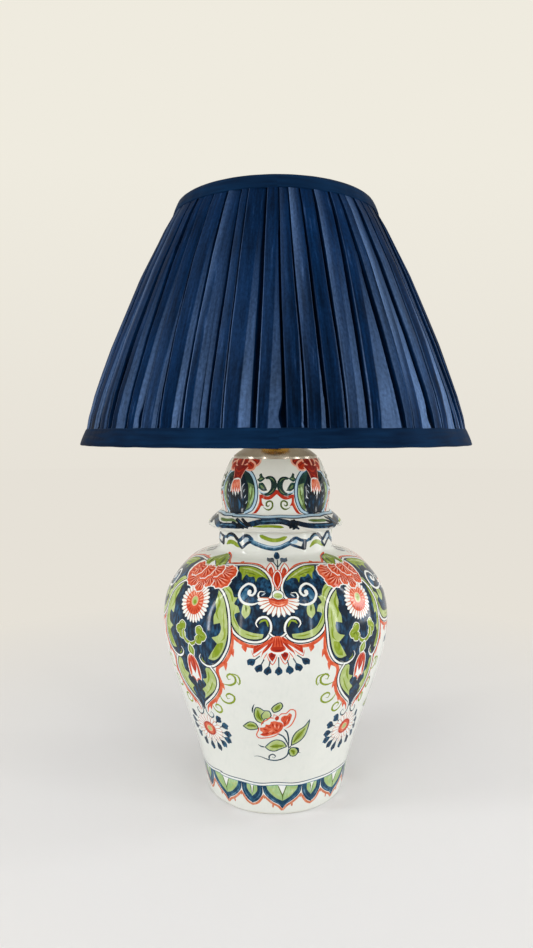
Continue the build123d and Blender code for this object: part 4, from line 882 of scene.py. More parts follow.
def dome_panel_middle(pen):
    """Hanging tulip in the oval panel."""
    pen.shape([(-20, 61), (-13, 56.5), (-9, 49, C), (10, 49, C), (14, 56.5), (20, 61)], "salmon")
    pen.shape([(-18.6, 61.6), (-12, 56.5), (-8, 49.6, C), (9, 49.6, C), (13, 56.5), (18.6, 61.6)], "deep_red")
    pen.stroke([(-11, 59.6), (0, 56.6), (11, 59.6)], 1.3, "red")
    pen.stroke([(-5, 55), (1, 52.4), (6, 55)], 1.1, "red")
    pen.shape([(-8, 50), (-12.6, 45), (-14, 38.6, C), (-9, 40), (-6.4, 35.6, C), (-3, 39.6), (0.6, 34.8, C),
               (4, 39.6), (7.6, 36, C), (10, 40), (13.4, 38.4, C), (12.4, 45), (8, 50)], "white")
    for x in (-9.4, -4.8, 0.4, 5.4, 9.8):
        pen.line([(x * 0.55, 49.6), (x * 0.9, 44), (x, 38.4)], 2.5, "coral", 0.1, 0.4)
        pen.line([(x * 0.6 + 0.8, 48.4), (x * 0.95 + 0.6, 42)], 0.9, "salmon", 0.1, 0.4)


def dome_scroll(pen):
    """Half of the scrolls between two oval panels."""
    pen.line([(0, 39.2), (5, 37), (12, 34.6), (19, 34.8), (26, 36.2), (29.6, 36.2)], 3.0, "red")
    pen.blob(0, 39.2, 3.4, 1.8, "red")
    pen.shape([(25.6, 37, C), (30.4, 37.4, C), (30.8, 32), (34.4, 27.4), (42, 21.4), (47, 19.2, C),
               (38, 20.6), (31, 25), (27.6, 27.8), (22.4, 27.4, C), (26, 31)], "red")
    pen.stroke([(29, 34), (31.4, 29), (37, 23.4)], 1.2, "coral")
    pen.line([(31.6, 41.4), (26, 39.4), (18, 38.6), (12, 38.8)], 1.3, "pale_blue", 0.1, 0.3)
    # Crescent that opens outwards, and the leaves behind it
    pen.shape([(22, 52, C), (15, 52.8), (7.4, 51.4), (1.6, 48.4), (-0.4, 45), (1.4, 41.2), (6, 38),
               (13, 36.4), (21, 36.8), (30, 39.4, C), (21, 38.6), (14.6, 39.6), (10.4, 42.4), (10.2, 46.8),
               (14, 50.2), (19, 50.6)], "bottle")
    pen.strokes([[(4.6, 47.8), (8.4, 50.4), (14, 51.6)], [(4.4, 42.4), (7.4, 39.8), (13, 37.8)]], 0.8, "sage")
    pen.stroke([(0.6, 48), (7, 51.8), (15, 52.8), (21.6, 52)], 0.9, "ink", 0.2)
    pen.shape([(32, 47.6, C), (25, 47.8), (20, 44.8), (16, 40.8, C), (23, 40.6), (28, 41.8),
               (32.6, 43.4, C)], "bottle")
    pen.shape([(29, 45.6), (25, 45.2), (21.6, 42.8, C), (25.6, 42.8)], "sage")
    pen.shape([(36.4, 50.4, C), (30, 48.4), (25, 49.6), (20.4, 51.6, C), (25.6, 53.2), (29.4, 56.4, C),
               (33.4, 54.8), (32, 52.6)], "bottle")
    pen.strokes([[(32, 50.4), (28, 51.4), (24.6, 51.8)], [(30.6, 52), (30.6, 54.6)]], 1.3, "sage")
    pen.line([(24, 26.8), (19, 24.8), (12.6, 24.4), (7.4, 27), (8, 30.6), (13, 31.8), (18, 30.4),
              (18.4, 28.2), (14.6, 27.4), (12.6, 28.6)], 1.5, "moss", 0.2, 0.1)


def each_place(period, offset, reach):
    """Centres of a repeat, with those just past the seam, and a number for the painter's hand."""
    first = int((SEAM - reach - offset) // period)
    last = int((SEAM + GIRTH + reach - offset) // period) + 1
    count = round(GIRTH / period)
    return [(offset + period * k, k % count) for k in range(first, last + 1)]


def halves(motif, pen):
    """Both halves of a motif."""
    motif(pen)
    motif(pen.mirrored())


def paint_jar(surface):
    shapes = []
    for x, hand in each_place(QUARTER / 2, FOOT_OFFSET, FOOT_REACH):
        halves(foot_petals, Pen(surface, shapes, x, 1, hand))
    for x, hand in each_place(QUARTER, JAR_OFFSET, JAR_REACH):
        pen = Pen(surface, shapes, x, 1, hand)
        foot_rings(pen)
        neck_ribbon(pen)
        halves(cartouche, pen)
        cartouche_middle(pen)
        sprig(pen)
    for x, hand in each_place(QUARTER, JAR_OFFSET - QUARTER / 2, JAR_REACH):
        # Every second panel is turned left to right
        pen = Pen(surface, shapes, x, 1 - 2 * (hand % 2), hand + DROP_HAND)
        halves(drop_panel, pen)
        drop_middle(pen)
    return shapes


def paint_lid(surface):
    shapes = []
    for x, hand in each_place(QUARTER, DOME_OFFSET, LID_REACH):
        halves(dome_scroll, Pen(surface, shapes, x, 1, hand))
    for x, hand in each_place(QUARTER, QUARTER / 2, LID_REACH):
        pen = Pen(surface, shapes, x, 1, hand + DOME_HAND)
        halves(dome_panel, pen)
        dome_panel_middle(pen)
    for x, hand in each_place(QUARTER, 0, LID_REACH):
        flange_ribbon(Pen(surface, shapes, x, 1, hand))
    return shapes


# Node helpers for materials

def new_material(name, colour, roughness, **sockets):
    """Material with its shader's sockets set by name, such as metallic=1 or coat_weight=0.5."""
    made = bpy.data.materials.new(name)
    made.use_nodes = True
    shader = made.node_tree.nodes["Principled BSDF"]
    shader.inputs["Base Color"].default_value = rgb(colour)
    shader.inputs["Roughness"].default_value = roughness
    for socket, value in sockets.items():
        title = socket.replace("_", " ").title().replace("Ior", "IOR")
        shader.inputs[title].default_value = value
    return made


def add_node(material, kind, settings=None, **inputs):
    """New node; inputs are values, or output sockets to link from."""
    tree = material.node_tree
    node = tree.nodes.new(kind)
    for key, value in (settings or {}).items():
        setattr(node, key, value)
    for key, value in inputs.items():
        name = key.replace("_", " ")
        socket = node.inputs[int(name[1:])] if name[0] == "i" and name[1:].isdigit() else node.inputs[name]
        if isinstance(value, bpy.types.NodeSocket):
            tree.links.new(value, socket)
        else:
            socket.default_value = value
    return node


def link(material, output, title):
    shader = material.node_tree.nodes["Principled BSDF"]
    material.node_tree.links.new(output, shader.inputs[title])


def attribute(material, title, output):
    return add_node(material, "ShaderNodeAttribute", {"attribute_name": title}).outputs[output]


def calculate(material, operation, *values):
    """Result of a math node on values or sockets."""
    inputs = {f"i{index}": value for index, value in enumerate(values)}
    return add_node(material, "ShaderNodeMath", {"operation": operation}, **inputs).outputs[0]


def noise(material, scale, detail=3.0, stretch=(1, 1, 1), places=None):
    """Value of a noise over the object's own places or those given; scale is in features to the metre."""
    places = places or add_node(material, "ShaderNodeTexCoord").outputs["Object"]
    moved = add_node(material, "ShaderNodeMapping", None, Vector=places, Scale=stretch).outputs[0]
    return add_node(material, "ShaderNodeTexNoise", None, Vector=moved, Scale=scale,
                    Detail=detail).outputs["Fac"]


def spread(material, value, low, high, from_low=0.3, from_high=0.7):
    """Value spread from one range to another, held at its ends."""
    return add_node(material, "ShaderNodeMapRange", None, Value=value, From_Min=from_low, From_Max=from_high,
                    To_Min=low, To_Max=high).outputs[0]


def mix(material, factor, first, second, blend="MIX"):
    """Mixed colour of two colours or sockets."""
    return add_node(material, "ShaderNodeMix", {"data_type": "RGBA", "blend_type": blend}, i0=factor,
                    i6=first, i7=second).outputs[2]


def bump(material, height, distance, strength=1.0):
    made = add_node(material, "ShaderNodeBump", None, Height=height, Distance=distance, Strength=strength)
    link(material, made.outputs[0], "Normal")


def mottle(material, scale, detail, first, second, most=1.0):
    """Base colour that drifts in patches from the first colour towards the second."""
    patches = spread(material, noise(material, scale, detail), 0.0, most)
    link(material, mix(material, patches, rgb(first), rgb(second)), "Base Color")


def vary_gloss(material, scale, detail, low, high):
    link(material, spread(material, noise(material, scale, detail), low, high), "Roughness")


def seen_rays(material):
    """1 for camera, glossy and transmission rays, which see the background."""
    rays = add_node(material, "ShaderNodeLightPath").outputs
    seen = calculate(material, "MAXIMUM", rays["Is Camera Ray"], rays["Is Glossy Ray"])
    return calculate(material, "MAXIMUM", seen, rays["Is Transmission Ray"])


# Materials, with scales in features to the metre

# Soft waves of a poured glaze: scale and bump distance
GLAZE_WAVES = (55, 0.6 * MM)
# Radians by which the wave texture turns in one unit at a scale of 1
WAVE_TURN = 20
# Slubs and grain of cloth
SLUB_SCALE = 60
GRAIN_STRETCH = (12, 5, 1)


def glaze_waves(material):
    scale, distance = GLAZE_WAVES
    bump(material, noise(material, scale, 2), distance, 0.25)


def painted_glaze():
    """Paint that pools thick and runs thin along its brush strokes, under a clear glaze."""
    made = new_material("painted_glaze", PAINTS["glaze"][0], 0.09, specular_ior_level=0.25)
    pools = spread(made, noise(made, 110, 4), 0.0, 1.0, 0.36, 0.66)
    strokes = spread(made, noise(made, 380, 3, (1, 1, 0.4)), 0.0, 1.0, 0.36, 0.66)
    thinned = calculate(made, "MULTIPLY_ADD", pools, strokes, -0.06)
    colour = mix(made, thinned, attribute(made, "paint", "Color"), attribute(made, "thin", "Color"))
    tone = spread(made, noise(made, 9, 2), 0.955, 1.0)
    link(made, mix(made, 1.0, colour, tone, "MULTIPLY"), "Base Color")
    vary_gloss(made, 60, 3, 0.07, 0.13)
    glaze_waves(made)
    return made


def plain_glaze():
    made = new_material("plain_glaze", PAINTS["glaze"][0], 0.1, specular_ior_level=0.3)
    mottle(made, 25, 4, "dddcd2", PAINTS["glaze"][0])
    glaze_waves(made)
    return made


def brushed_metal(name, colour, wear_and_painted_light, roughness, grain, stretch=(1, 1, 1)):
    """Metal with fine grain and slight dull patches."""
    made = new_material(name, colour, roughness, metallic=1.0)
    mottle(made, 70, 4, colour, wear_and_painted_light, 0.6)
    vary_gloss(made, 160, 4, roughness * 0.75, roughness * 1.4)
    bump(made, noise(made, grain, 3, stretch), 0.04 * MM, 0.4)
    return made


def moulded(name, colour, light, roughness, grain, depth, **sockets):
    """Rubber, plastic, porcelain or enamel: soft mottling and a fine surface grain."""
    made = new_material(name, colour, roughness, **sockets)
    mottle(made, 90, 4, colour, light)
    vary_gloss(made, 240, 3, roughness * 0.8, roughness * 1.25)
    bump(made, noise(made, grain, 2), depth, 0.5)
    return made


def cloth(name, colour, light, roughness, waves, depth, slubs, single=None):
    """Cloth with slubs along its threads, and crossed waves in radians to the metre, by the surface's own UV.

    The single colour is for cloth with the lining close behind it, and for painted light on lit pleats,
    by the mesh's own measure. Where that measure is below 0 the cloth is darker with painted shade, as in
    the gaps between pleats.
    """
    made = new_material(name, colour, roughness, specular_ior_level=0.02, specular_tint=rgb("6c90c8"))
    uv = add_node(made, "ShaderNodeUVMap", {"uv_map": "cloth"}).outputs[0]
    crossed = []
    for axis in ("X", "Y"):
        wave = add_node(made, "ShaderNodeTexWave", {"bands_direction": axis}, Vector=uv,
                        Scale=waves / WAVE_TURN, Distortion=0.6, Detail=1.0)
        crossed.append(wave.outputs["Fac"])
    slub = noise(made, SLUB_SCALE, 4, slubs, uv)
    patches = calculate(made, "ADD", slub, noise(made, 14, 3))
    finish = mix(made, spread(made, patches, 0.0, 1.0, 0.7, 1.3), rgb(colour), rgb(light))
    if single:
        # Measure of single cloth, with painted light on lit pleats and painted shade in the gaps
        layer = attribute(made, "single", "Fac")
        grain = noise(made, SLUB_SCALE, 3, GRAIN_STRETCH, uv)
        by_slub = spread(made, slub, 0.6, 1.0)
        # Share of the single colour: the measure with its painted light, raised along slubs, plus sparse
        # bright slubs as painted highlights
        wear_and_painted_light = calculate(made, "MULTIPLY_ADD", layer, by_slub, spread(made, slub, 0.0, 0.2, 0.64, 0.8))
        finish = mix(made, wear_and_painted_light, finish, rgb(single))
        # Darker along the cloth's grain, and painted shade in the gaps where the measure is below 0
        for tone in (spread(made, grain, 0.72, 1.2), spread(made, layer, 0.2, 1.0, -1.0, 0.0)):
            finish = mix(made, 1.0, finish, tone, "MULTIPLY")
    link(made, finish, "Base Color")
    link(made, spread(made, slub, roughness * 0.85, min(1.0, roughness * 1.2)), "Roughness")
    bump(made, calculate(made, "MULTIPLY_ADD", slub, 1.6, calculate(made, "MULTIPLY", *crossed)), depth, 0.6)
    return made


def opal():
    made = new_material("opal_glass", "f3f1ea", 0.32, subsurface_weight=0.4, subsurface_scale=0.004,
                        coat_weight=0.5)
    mottle(made, 35, 3, "efece2", "f7f6f2")
    vary_gloss(made, 120, 3, 0.26, 0.38)
    return made


# Shade, as surfaces of revolution with a cloth UV map in metres

bottom_low, bottom_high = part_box("bottom_binding")
top_low, top_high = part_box("top_binding")
SHADE_LOW = bottom_low.z
SHADE_HIGH = top_high.z
SHADE_SLOPE = (top_high.x - bottom_high.x) / (top_low.z - SHADE_LOW)
# Silk between the tapes, and how far it stays short of the shade's ends under them
FREE_LOW = bottom_high.z
FREE_HIGH = top_low.z
SILK_SHORT = 2 * MM
SILK_ROWS = 48
# Crowding of the rows towards both ends
SILK_CROWDING = 0.12
SILK_SEED = 11
SILK_THICKNESS = 0.4 * MM
PLEATS = 58
# Stretches round the shade painted lighter or darker, as light falls on them
PLEAT_LIT_ZONES = 14
# Up the shade between its tapes: share of the way, crest outside the tapes and depth of a pleat in mm
PLEAT_FORM = ((0.0, -0.6, 0.8), (0.015, -0.2, 1.4), (0.06, 1.8, 3.4), (0.16, 4.0, 5.2), (0.38, 5.6, 5.6),
              (0.7, 5.0, 5.0), (0.92, 2.0, 3.2), (0.985, -0.1, 1.8), (1.0, -0.6, 1.2))
# Crest and depth under the tapes
PLEAT_UNDER_TAPE = (-1.6, 0.4)
# Width in mm of a pleat's folded layers behind its edge, and least width of the single cloth beside them
PLEAT_LAYERS = (5.0, 11.0)
PLEAT_SINGLE = 0.6
# Gap between pleats as a share of their width: at the bottom, how much less at the top, least and most
GAP_LOW = 0.12
GAP_LESS = 0.03
GAP_LIMITS = (0.05, 0.4)
# Pockets in the gaps over the lower tape, as centre and reach up the shade
POCKET_AT = (0.05, 0.04)
# Reach up the shade of a gap that opens, of a pleat's painted light and of a painted highlight streak along
# its edge
OPEN_REACH = 0.45
TONE_REACH = 0.4
STREAK_REACH = 0.35
# Painted highlight streak on the second, third and fourth line of a pleat's section
STREAK_ACROSS = (1.0, 0.8, 0.15)
# Single cloth shows in full up to the first share of the way and no more at the second
SINGLE_SHOWS = (0.1, 0.85)
SINGLE_FADE = 1.3
# Measure of the painted shade at the bottom of a gap
GAP_PAINTED_SHADE = 1.0
# How far the lower tape reaches below the shade's plain form, and in mm how much deeper the tapes are than it
TAPE_DROP = 0.9 * MM
BOTTOM_TAPE_DEEPER = 2.6
TOP_TAPE_DEEPER = 1.6
TAPE_AROUND = 300
TAPE_WAVES = 7
# Lining in mm inside the shade's cone, its thickness, and its arches over the fitter's arms
LINING_INSET = 6.5
LINING_THICKNESS = 0.8
LINING_AROUND = 360
LINING_ROWS = 24
LINING_ARCH = 9 * MM
LINING_ARCH_ANGLE = 0.045
FITTER_ARMS = 3


def ring_mesh(name, rows, material, closed_section):
    """Mesh from rows of points, each row a closed ring. A closed section joins its last row to its first."""
    rows = np.asarray(rows)
    count, around = rows.shape[:2]
    lengths = np.linalg.norm(np.diff(rows, axis=0), axis=2).mean(axis=1)
    heights = np.concatenate([[0.0], np.cumsum(lengths), [0.0]])
    girth = np.linalg.norm(np.roll(rows, -1, axis=1) - rows, axis=2).mean(axis=0)
    girths = np.concatenate([[0.0], np.cumsum(girth)])
    faces, places = [], []
    for i in range(count if closed_section else count - 1):
        below, above = i * around, (i + 1) % count * around
        for j in range(around):
            k = (j + 1) % around
            faces.append((below + j, below + k, above + k, above + j))
            places += [girths[j], heights[i], girths[j + 1], heights[i]]
            places += [girths[j + 1], heights[i + 1], girths[j], heights[i + 1]]
    made = mesh_object(name, rows.reshape(-1, 3).tolist(), faces, material)
    made.data.uv_layers.new(name="cloth").data.foreach_set("uv", places)
    return made


def turned(radius, level, angles):
    """Ring of points at a radius and level, either of them one value or one for each angle."""
    radius = np.broadcast_to(radius, angles.shape)
    level = np.broadcast_to(level, angles.shape)
    return np.stack([radius * np.sin(angles), -radius * np.cos(angles), level], axis=1)


def shade_radius(level):
    return bottom_high.x + SHADE_SLOPE * (level - SHADE_LOW)


class Pleats:
    """What differs from pleat to pleat, and their form at v, the share of the way up between the tapes."""

    def __init__(self):
        random = Random(SILK_SEED)

        def each(low, high):
            return np.array([random.uniform(low, high) for _ in range(PLEATS)])

        knots = each(0, 1)[:PLEAT_LIT_ZONES]
        stations = np.arange(PLEATS) * PLEAT_LIT_ZONES / PLEATS
        lit_zone = np.interp(stations, np.arange(PLEAT_LIT_ZONES + 1), np.append(knots, knots[0]))
        # Shift of the edge in pleats: at the top, at the bottom and between them
        self.lean = each(-0.3, 0.3)
        self.spread_out = each(-0.4, 0.4)
        self.sway = each(-0.3, 0.3)
        self.phase = each(0, 2 * pi)
        # Folded layers, tilt and swell of the facet, single cloth with its crease, shown more in the painted
        # lit stretches, and pocket in the gap
        self.layers = each(*PLEAT_LAYERS)
        self.slope = each(-0.1, 0.6)
        self.bulge = each(-0.1, 0.4)
        self.thin = (0.25 + 0.75 * lit_zone) * each(0.3, 1.0)
        self.crease_place = each(0.25, 0.75)
        self.crease_depth = np.maximum(each(-0.2, 0.8), 0)
        self.crease_top = each(0.1, 0.6)
        self.pocket = np.maximum(each(-0.4, 0.14), 0)
        # Painted sheen on the edge, painted light on the facet, open gap and painted highlight streak, the
        # last three with their places up the shade
        self.edge_shine = each(0.1, 0.6)
        self.tone = 0.6 * lit_zone**1.5 * each(0.0, 1.0) ** 1.5
        self.tone_place = each(0.1, 0.8)
        self.open_gap = 0.3 * (1 - lit_zone) * each(0.0, 1.0)
        self.open_place = each(0.2, 1.0)
        self.highlight_streak = np.maximum(each(-0.5, 0.6), 0)
        self.streak_place = each(0.4, 1.0)

    def edges(self, v):
        """Bearing of each pleat's edge."""
        sway = self.sway * v * (1 - v) * np.sin(3 * v + self.phase)
        return (np.arange(PLEATS) + self.lean * v + self.spread_out * (1 - v) + sway) * 2 * pi / PLEATS

    def section(self, v, span):
        """Lines of a pleat's section, for pleats that span so many mm.

        For each line: its place across, its drop from the flat facet as a share of the depth, and how far
        the cloth there is single, with a painted sheen on the edge lines.
        """
        wide = GAP_LOW - GAP_LESS * v + self.pocket * hump(v, *POCKET_AT)
        gap = 1 - np.clip(wide + self.open_gap * hump(v, self.open_place, OPEN_REACH), *GAP_LIMITS)
        layer = np.minimum(self.layers, span * gap - PLEAT_SINGLE) / span
        crease = layer + (gap - layer) * self.crease_place
        cut = self.crease_depth * np.clip(1 - v / self.crease_top, 0, 1)
        fine = np.minimum(0.02, 0.2 * (gap - layer))
        lines = (
            (0.0, 0.06, 0.5 * self.edge_shine),
            (0.02, 0.0, self.edge_shine),
            (0.05, 0.0, 0.0),
            (layer * 0.6, 0.0, 0.0),
            (layer - fine, 0.0, 0.0),
            (layer + fine, 0.03, self.thin),
            (crease - 1.5 * fine, 0.03, self.thin),
            (crease, 0.03 + cut, self.thin * (1 - cut)),
            (crease + 1.5 * fine, 0.03, self.thin),
            (gap - fine * 2, 0.03, self.thin),
            (gap, 0.4, 0.0),
            (gap + 0.35 * (1 - gap), 1.0, 0.0),
            (gap + 0.8 * (1 - gap), 1.0, 0.0),
            (0.994, 0.55, 0.0),
        )
        return (np.stack([np.broadcast_to(value, PLEATS) for value in values],
                         axis=1) for values in zip(*lines))

    def fall(self, v, across, drop):
        """Depth below the crest, as a share of the pleat's depth."""
        swell = self.bulge[:, None] * 4 * across * (1 - across) * 4 * v * (1 - v)
        facet = self.slope[:, None] * across - swell
        return np.clip(facet * (drop < 0.5) + drop, -0.2, 1.0)

    def light(self, v, across, drop):
        """Painted light on top of the single cloth's lightness: lit tones, sheen on the edges and highlight
        streaks, and painted shade in the gaps.
        """
        tone = self.tone * hump(v, self.tone_place, TONE_REACH)
        lit = tone[:, None] * (drop < 0.1) * np.clip(1.2 - 1.3 * across, 0.1, 1)
        lit[:, 1] += 0.5 * self.edge_shine * v
        highlight_streak = self.highlight_streak * hump(v, self.streak_place, STREAK_REACH)
        lit[:, 1:4] += highlight_streak[:, None] * STREAK_ACROSS
        return lit - GAP_PAINTED_SHADE * (drop >= 0.4) * np.clip(drop, 0, 1)


def silk(material):
    """Knife pleats: folded layers of one width, and between them single cloth that widens downwards."""
    pleats = Pleats()
    shares, crests, depths = np.array(PLEAT_FORM).T
    ends = np.linspace(0, 1, SILK_ROWS)
    free = FREE_LOW + (FREE_HIGH - FREE_LOW) * (ends - SILK_CROWDING * np.sin(2 * pi * ends) / pi)
    shows_low, shows_high = SINGLE_SHOWS
    rows, single_and_painted_light = [], []
    for level in (SHADE_LOW + SILK_SHORT, *free, SHADE_HIGH - SILK_SHORT):
        v = min(1.0, max(0.0, (level - FREE_LOW) / (FREE_HIGH - FREE_LOW)))
        crest, depth = np.interp(v, shares, crests), np.interp(v, shares, depths)
        if not FREE_LOW <= level <= FREE_HIGH:
            crest, depth = PLEAT_UNDER_TAPE
        edge = pleats.edges(v)
        width = np.diff(np.append(edge, edge[0] + 2 * pi))
        across, drop, single = pleats.section(v, width * shade_radius(level) / MM)
        height = crest - depth * pleats.fall(v, across, drop)
        angles = (edge[:, None] + width[:, None] * across).ravel()
        rows.append(turned(shade_radius(level) + height.ravel() * MM, level, angles))
        shown = np.clip((shows_high - v) / (shows_high - shows_low), 0, 1) ** SINGLE_FADE
        # Single cloth where it shows, plus painted light, sheen, highlights and painted shade of the pleats
        single_and_painted_light.append((single * shown + pleats.light(v, across, drop)).ravel())
    made = ring_mesh("silk", rows, material, False)
    made.data.attributes.new("single", "FLOAT", "POINT").data.foreach_set("value", np.concatenate(single_and_painted_light))
    thick = made.modifiers.new("thickness", "SOLIDIFY")
    thick.thickness = SILK_THICKNESS
    thick.offset = -1
    return made


def tape(name, material, edge, depth, folded_up):
    """Bias tape folded over a wire: band outside with a depth in mm, rolled edge and a lip inside."""
    random = Random(name)
    angles = np.linspace(0, 2 * pi, TAPE_AROUND, endpoint=False)
    waves = [(random.randint(5, 40), random.uniform(0, 2 * pi)) for _ in range(TAPE_WAVES)]
    ripple = sum(np.sin(count * angles + start) / TAPE_WAVES for count, start in waves)
    puckers = sum(np.sin(count * 3 * angles + 2 * start) / TAPE_WAVES for count, start in waves)
    sign = 1 if folded_up else -1
    # Section from the band's free edge, round the fold to the lip inside, then back: inset and height in mm
    outside = [(0.9, depth), (0.2, depth - 0.3), (0.0, depth - 1.4), (-0.25, depth * 0.6),
               (-0.2, depth * 0.3), (0.1, 0.9), (0.8, 0.15), (2.4, -0.1), (4.6, 0.1), (5.7, 0.5), (6.1, 1.2),
               (6.0, 2.2)]
    inside = [(5.2, 2.2), (5.2, 1.3), (4.4, 1.0), (2.2, 0.9), (1.2, 1.2), (1.0, 2.6), (1.0, depth * 0.5),
              (1.1, depth - 0.6)]
    rows = []
    # Ripples of the whole tape, and puckers towards its free edge
    for inset, height in outside + inside:
        free = max(0.0, min(1.0, height / depth))
        level = edge + sign * height * MM + sign * ripple * (0.35 - 0.1 * free) * MM
        radius = shade_radius(level) - inset * MM + (0.45 * ripple + 0.25 * puckers * free) * MM
        rows.append(turned(radius, level, angles))
    return ring_mesh(name, rows[::sign], material, True)


def lining(material):
    """Stretched lining, arched over the fitter's arms at its lower edge."""
    low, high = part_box("shade_lining")
    angles = np.linspace(0, 2 * pi, LINING_AROUND, endpoint=False)
    arms = [radians(180 + 360 / FITTER_ARMS * k) for k in range(FITTER_ARMS)]
    away = np.min([np.abs((angles - arm + pi) % (2 * pi) - pi) for arm in arms], axis=0)
    arch = np.maximum(0, 1 - (away / LINING_ARCH_ANGLE) ** 2) * LINING_ARCH
    gathers = 0.25 * np.sin(90 * angles) + 0.15 * np.sin(37 * angles)
    rows = []
    for inset, direction in ((LINING_INSET, 1), (LINING_INSET + LINING_THICKNESS, -1)):
        for share in np.linspace(0, 1, LINING_ROWS)[::direction]:
            level = low.z + (high.z - low.z) * share + arch * (1 - share) ** 6
            radius = shade_radius(level) - (inset + gathers * share**3) * MM
            rows.append(turned(radius, level, angles))
    return ring_mesh("lining", rows, material, True)


# Stage, in metres and watts

BACKGROUND = "e6e1d7"
BACKGROUND_HIGH = "efebdf"
FLOOR = "e4e4e5"
FLOOR_RADIUS = 6
# Distance from the lamp over which the floor fades into the background
FLOOR_FADE = (0.2, 0.7)
WORLD_COLOUR = (1.0, 0.985, 0.96, 1)
WORLD_STRENGTH = 0.66
# Tall windows round the front of the lamp: bearing from the front, width and power
WINDOWS = (("window_far_left", -70, 0.072, 5.4), ("window_left", -30, 0.048, 2.0),
           ("window_right", 29, 0.048, 2.0), ("window_mid_right", 60, 0.065, 3.6),
           ("window_far_right", 94, 0.065, 3.2))
WINDOW_REACH = 1.15
WINDOW_FOOT = 0.02
WINDOW_HEIGHT = 1.35
OVERHEAD_PLACE = (0, -1.0, 2.0)
OVERHEAD_TARGET = (0, 0, 0.2)
OVERHEAD_SIZE = (1.6, 1.2)
OVERHEAD_POWER = 4
CAMERA_PLACE = (-0.0083, -0.6317, 0.3289)
# Downwards in degrees, and lens and sensor in mm
CAMERA_PITCH = 3.42
CAMERA_LENS = 25.82
CAMERA_SENSOR = 36
CAMERA_NEAR = 0.01


def stage():
    """Pale floor that fades into the background away from the lamp."""
    bpy.ops.mesh.primitive_circle_add(vertices=96, radius=FLOOR_RADIUS, fill_type="NGON")
    floor = bpy.context.object
    floor.name = "floor"
    made = new_material("floor", FLOOR, 0.55)
    tree = made.node_tree
    places = add_node(made, "ShaderNodeTexCoord").outputs["Object"]
    reach = add_node(made, "ShaderNodeVectorMath", {"operation": "LENGTH"}, i0=places).outputs["Value"]
    amount = calculate(made, "MULTIPLY", seen_rays(made), spread(made, reach, 0.0, 1.0, *FLOOR_FADE))
    glow = add_node(made, "ShaderNodeEmission", None, Color=rgb(BACKGROUND), Strength=1.0).outputs[0]
    shader = tree.nodes["Principled BSDF"].outputs[0]
    mixed = add_node(made, "ShaderNodeMixShader", None, i0=amount, i1=shader, i2=glow).outputs[0]
    tree.links.new(mixed, tree.nodes["Material Output"].inputs[0])
    floor.data.materials.append(made)


def world():
    """Even light, with the pale background for the rays that see it."""
    made = bpy.data.worlds.new("studio")
    bpy.context.scene.world = made
    made.use_nodes = True
    tree = made.node_tree
    light = tree.nodes["Background"]
    light.inputs[0].default_value = WORLD_COLOUR
    light.inputs[1].default_value = WORLD_STRENGTH
    bearing = add_node(made, "ShaderNodeTexCoord").outputs["Generated"]
    height = add_node(made, "ShaderNodeSeparateXYZ", None, i0=bearing).outputs["Z"]
    shade = mix(made, spread(made, height, 0.0, 1.0, -0.1, 0.35), rgb(BACKGROUND), rgb(BACKGROUND_HIGH))
    back = add_node(made, "ShaderNodeBackground", None, i0=shade, i1=1.0).outputs[0]
    mixed = add_node(made, "ShaderNodeMixShader", None, i0=seen_rays(made), i1=light.outputs[0],
                     i2=back).outputs[0]
    tree.links.new(mixed, tree.nodes["World Output"].inputs[0])


def softbox(name, place, target, size, power):
    data = bpy.data.lights.new(name, "AREA")
    data.shape = "RECTANGLE"
    data.size, data.size_y = size
    data.energy = power
    made = bpy.data.objects.new(name, data)
    made.location = place
    made.rotation_euler = (Vector(target) - Vector(place)).to_track_quat("-Z", "Y").to_euler()
    bpy.context.scene.collection.objects.link(made)


def camera():
    data = bpy.data.cameras.new("camera")
    data.lens = CAMERA_LENS
    data.sensor_width = CAMERA_SENSOR
    data.clip_start = CAMERA_NEAR
    made = bpy.data.objects.new("camera", data)
    made.location = CAMERA_PLACE
    made.rotation_euler = (radians(90 - CAMERA_PITCH), 0, 0)
    bpy.context.scene.collection.objects.link(made)
    bpy.context.scene.camera = made


# Build

bpy.context.scene.view_settings.view_transform = "Standard"
camera()
stage()
world()
for name, bearing, width, power in WINDOWS:
    angle = radians(bearing)
    middle = WINDOW_FOOT + WINDOW_HEIGHT / 2
    place = (WINDOW_REACH * sin(angle), -WINDOW_REACH * cos(angle), middle)
    softbox(name, place, (0, 0, middle), (width, WINDOW_HEIGHT), power)
softbox("overhead", OVERHEAD_PLACE, OVERHEAD_TARGET, OVERHEAD_SIZE, OVERHEAD_POWER)

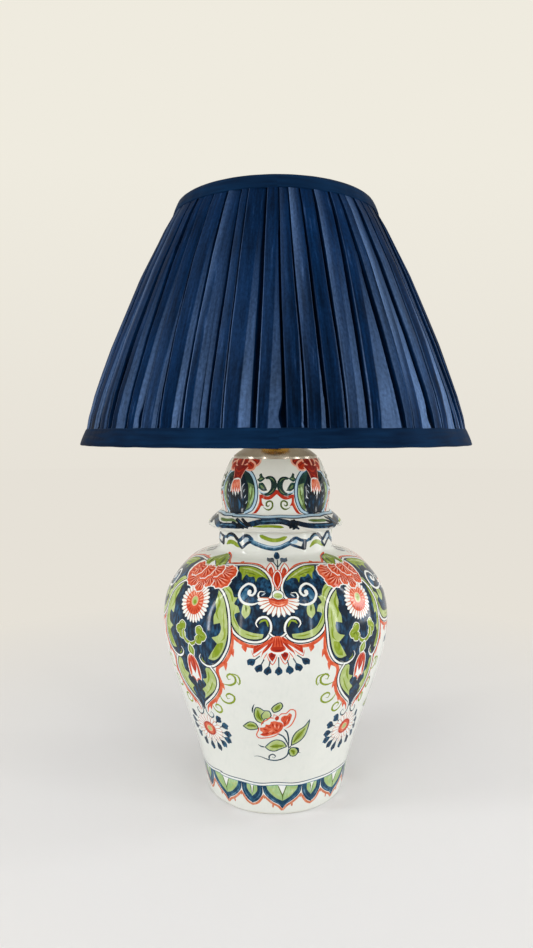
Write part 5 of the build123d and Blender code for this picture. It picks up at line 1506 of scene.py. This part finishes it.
# Finish for each material slot of the record
FINISHES = {
    "glazed_pottery": plain_glaze(),
    "blue_silk": cloth("blue_silk", "010a1a", "08284e", 0.5, 900, 0.16 * MM, (6, 0.4, 1), "7090c0"),
    "blue_binding": cloth("blue_binding", "06152a", "0e2a48", 0.55, 1000, 0.06 * MM, (0.5, 5, 1)),
    "lining_cloth": cloth("lining_cloth", "e4dfd2", "f0ede4", 0.75, 700, 0.08 * MM, (4, 0.6, 1)),
    "polished_nickel": brushed_metal("polished_nickel", "b2a99c", "948d82", 0.2, 900, (1, 1, 8)),
    "brass": brushed_metal("brass", "f0c464", "d4a048", 0.14, 700),
    "plated_steel": brushed_metal("plated_steel", "b4b2ac", "95938e", 0.3, 700),
    "bulb_metal": brushed_metal("bulb_metal", "bdbbb4", "a09d96", 0.26, 700),
    "rubber": moulded("rubber", "1f1f20", "2b2b2c", 0.7, 900, 0.05 * MM),
    "black_plastic": moulded("black_plastic", "17171a", "242428", 0.35, 1200, 0.03 * MM),
    "porcelain": moulded("porcelain", "e6e2d6", "f0ede4", 0.2, 60, 0.2 * MM, coat_weight=0.4),
    "frame_wire": moulded("frame_wire", "d9d6cc", "e8e6de", 0.4, 400, 0.06 * MM),
    "opal_glass": opal(),
}
for node in frame["nodes"].values():
    slot = node.material_slots[0]
    slot.material = FINISHES[slot.material.name]

glaze = painted_glaze()
jar = Pottery("jar_body", JAR_LEVELS, JAR_START, 0.0, JAR_ROUNDNESS, slips=True)
lid = Pottery("jar_lid", LID_LEVELS, LID_START, SIDE_ANGLE / 2, LID_ROUNDNESS)
cord_hole = [
    (GIRTH / 2 + CORD_HOLE_WIDTH / 2 * cos(angle), CORD_HOLE_UP + CORD_HOLE_HEIGHT / 2 * sin(angle))
    for angle in np.linspace(0, 2 * pi, CORD_HOLE_POINTS, endpoint=False)
]
painted_skin("jar_painting", jar, paint_jar(jar), glaze, cord_hole)
painted_skin("lid_painting", lid, paint_lid(lid), glaze, [])

silk_piece = silk(FINISHES["blue_silk"])
lining_piece = lining(FINISHES["lining_cloth"])
binding = FINISHES["blue_binding"]
bottom_depth = (bottom_high.z - bottom_low.z) / MM + BOTTOM_TAPE_DEEPER
bottom_tape = tape("bottom_tape", binding, SHADE_LOW - TAPE_DROP, bottom_depth, True)
top_depth = (top_high.z - top_low.z) / MM + TOP_TAPE_DEEPER
top_tape = tape("top_tape", binding, SHADE_HIGH, top_depth, False)
# New piece, the node it replaces, its slot, flat size in metres, how it is held, and area where it is cut
SHADE_PIECES = (
    (silk_piece, "silk_cover", "blue_silk", (1.08, 0.232), "gathered", None),
    (lining_piece, "shade_lining", "lining_cloth", (0.82, 0.36), "stretched", 0.18),
    (bottom_tape, "bottom_binding", "blue_binding", (1.09, 0.021), "stretched", None),
    (top_tape, "top_binding", "blue_binding", (0.56, 0.02), "stretched", None),
)
for piece, node, finish, flat, held, area in SHADE_PIECES:
    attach(piece, "shade")
    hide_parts(node)
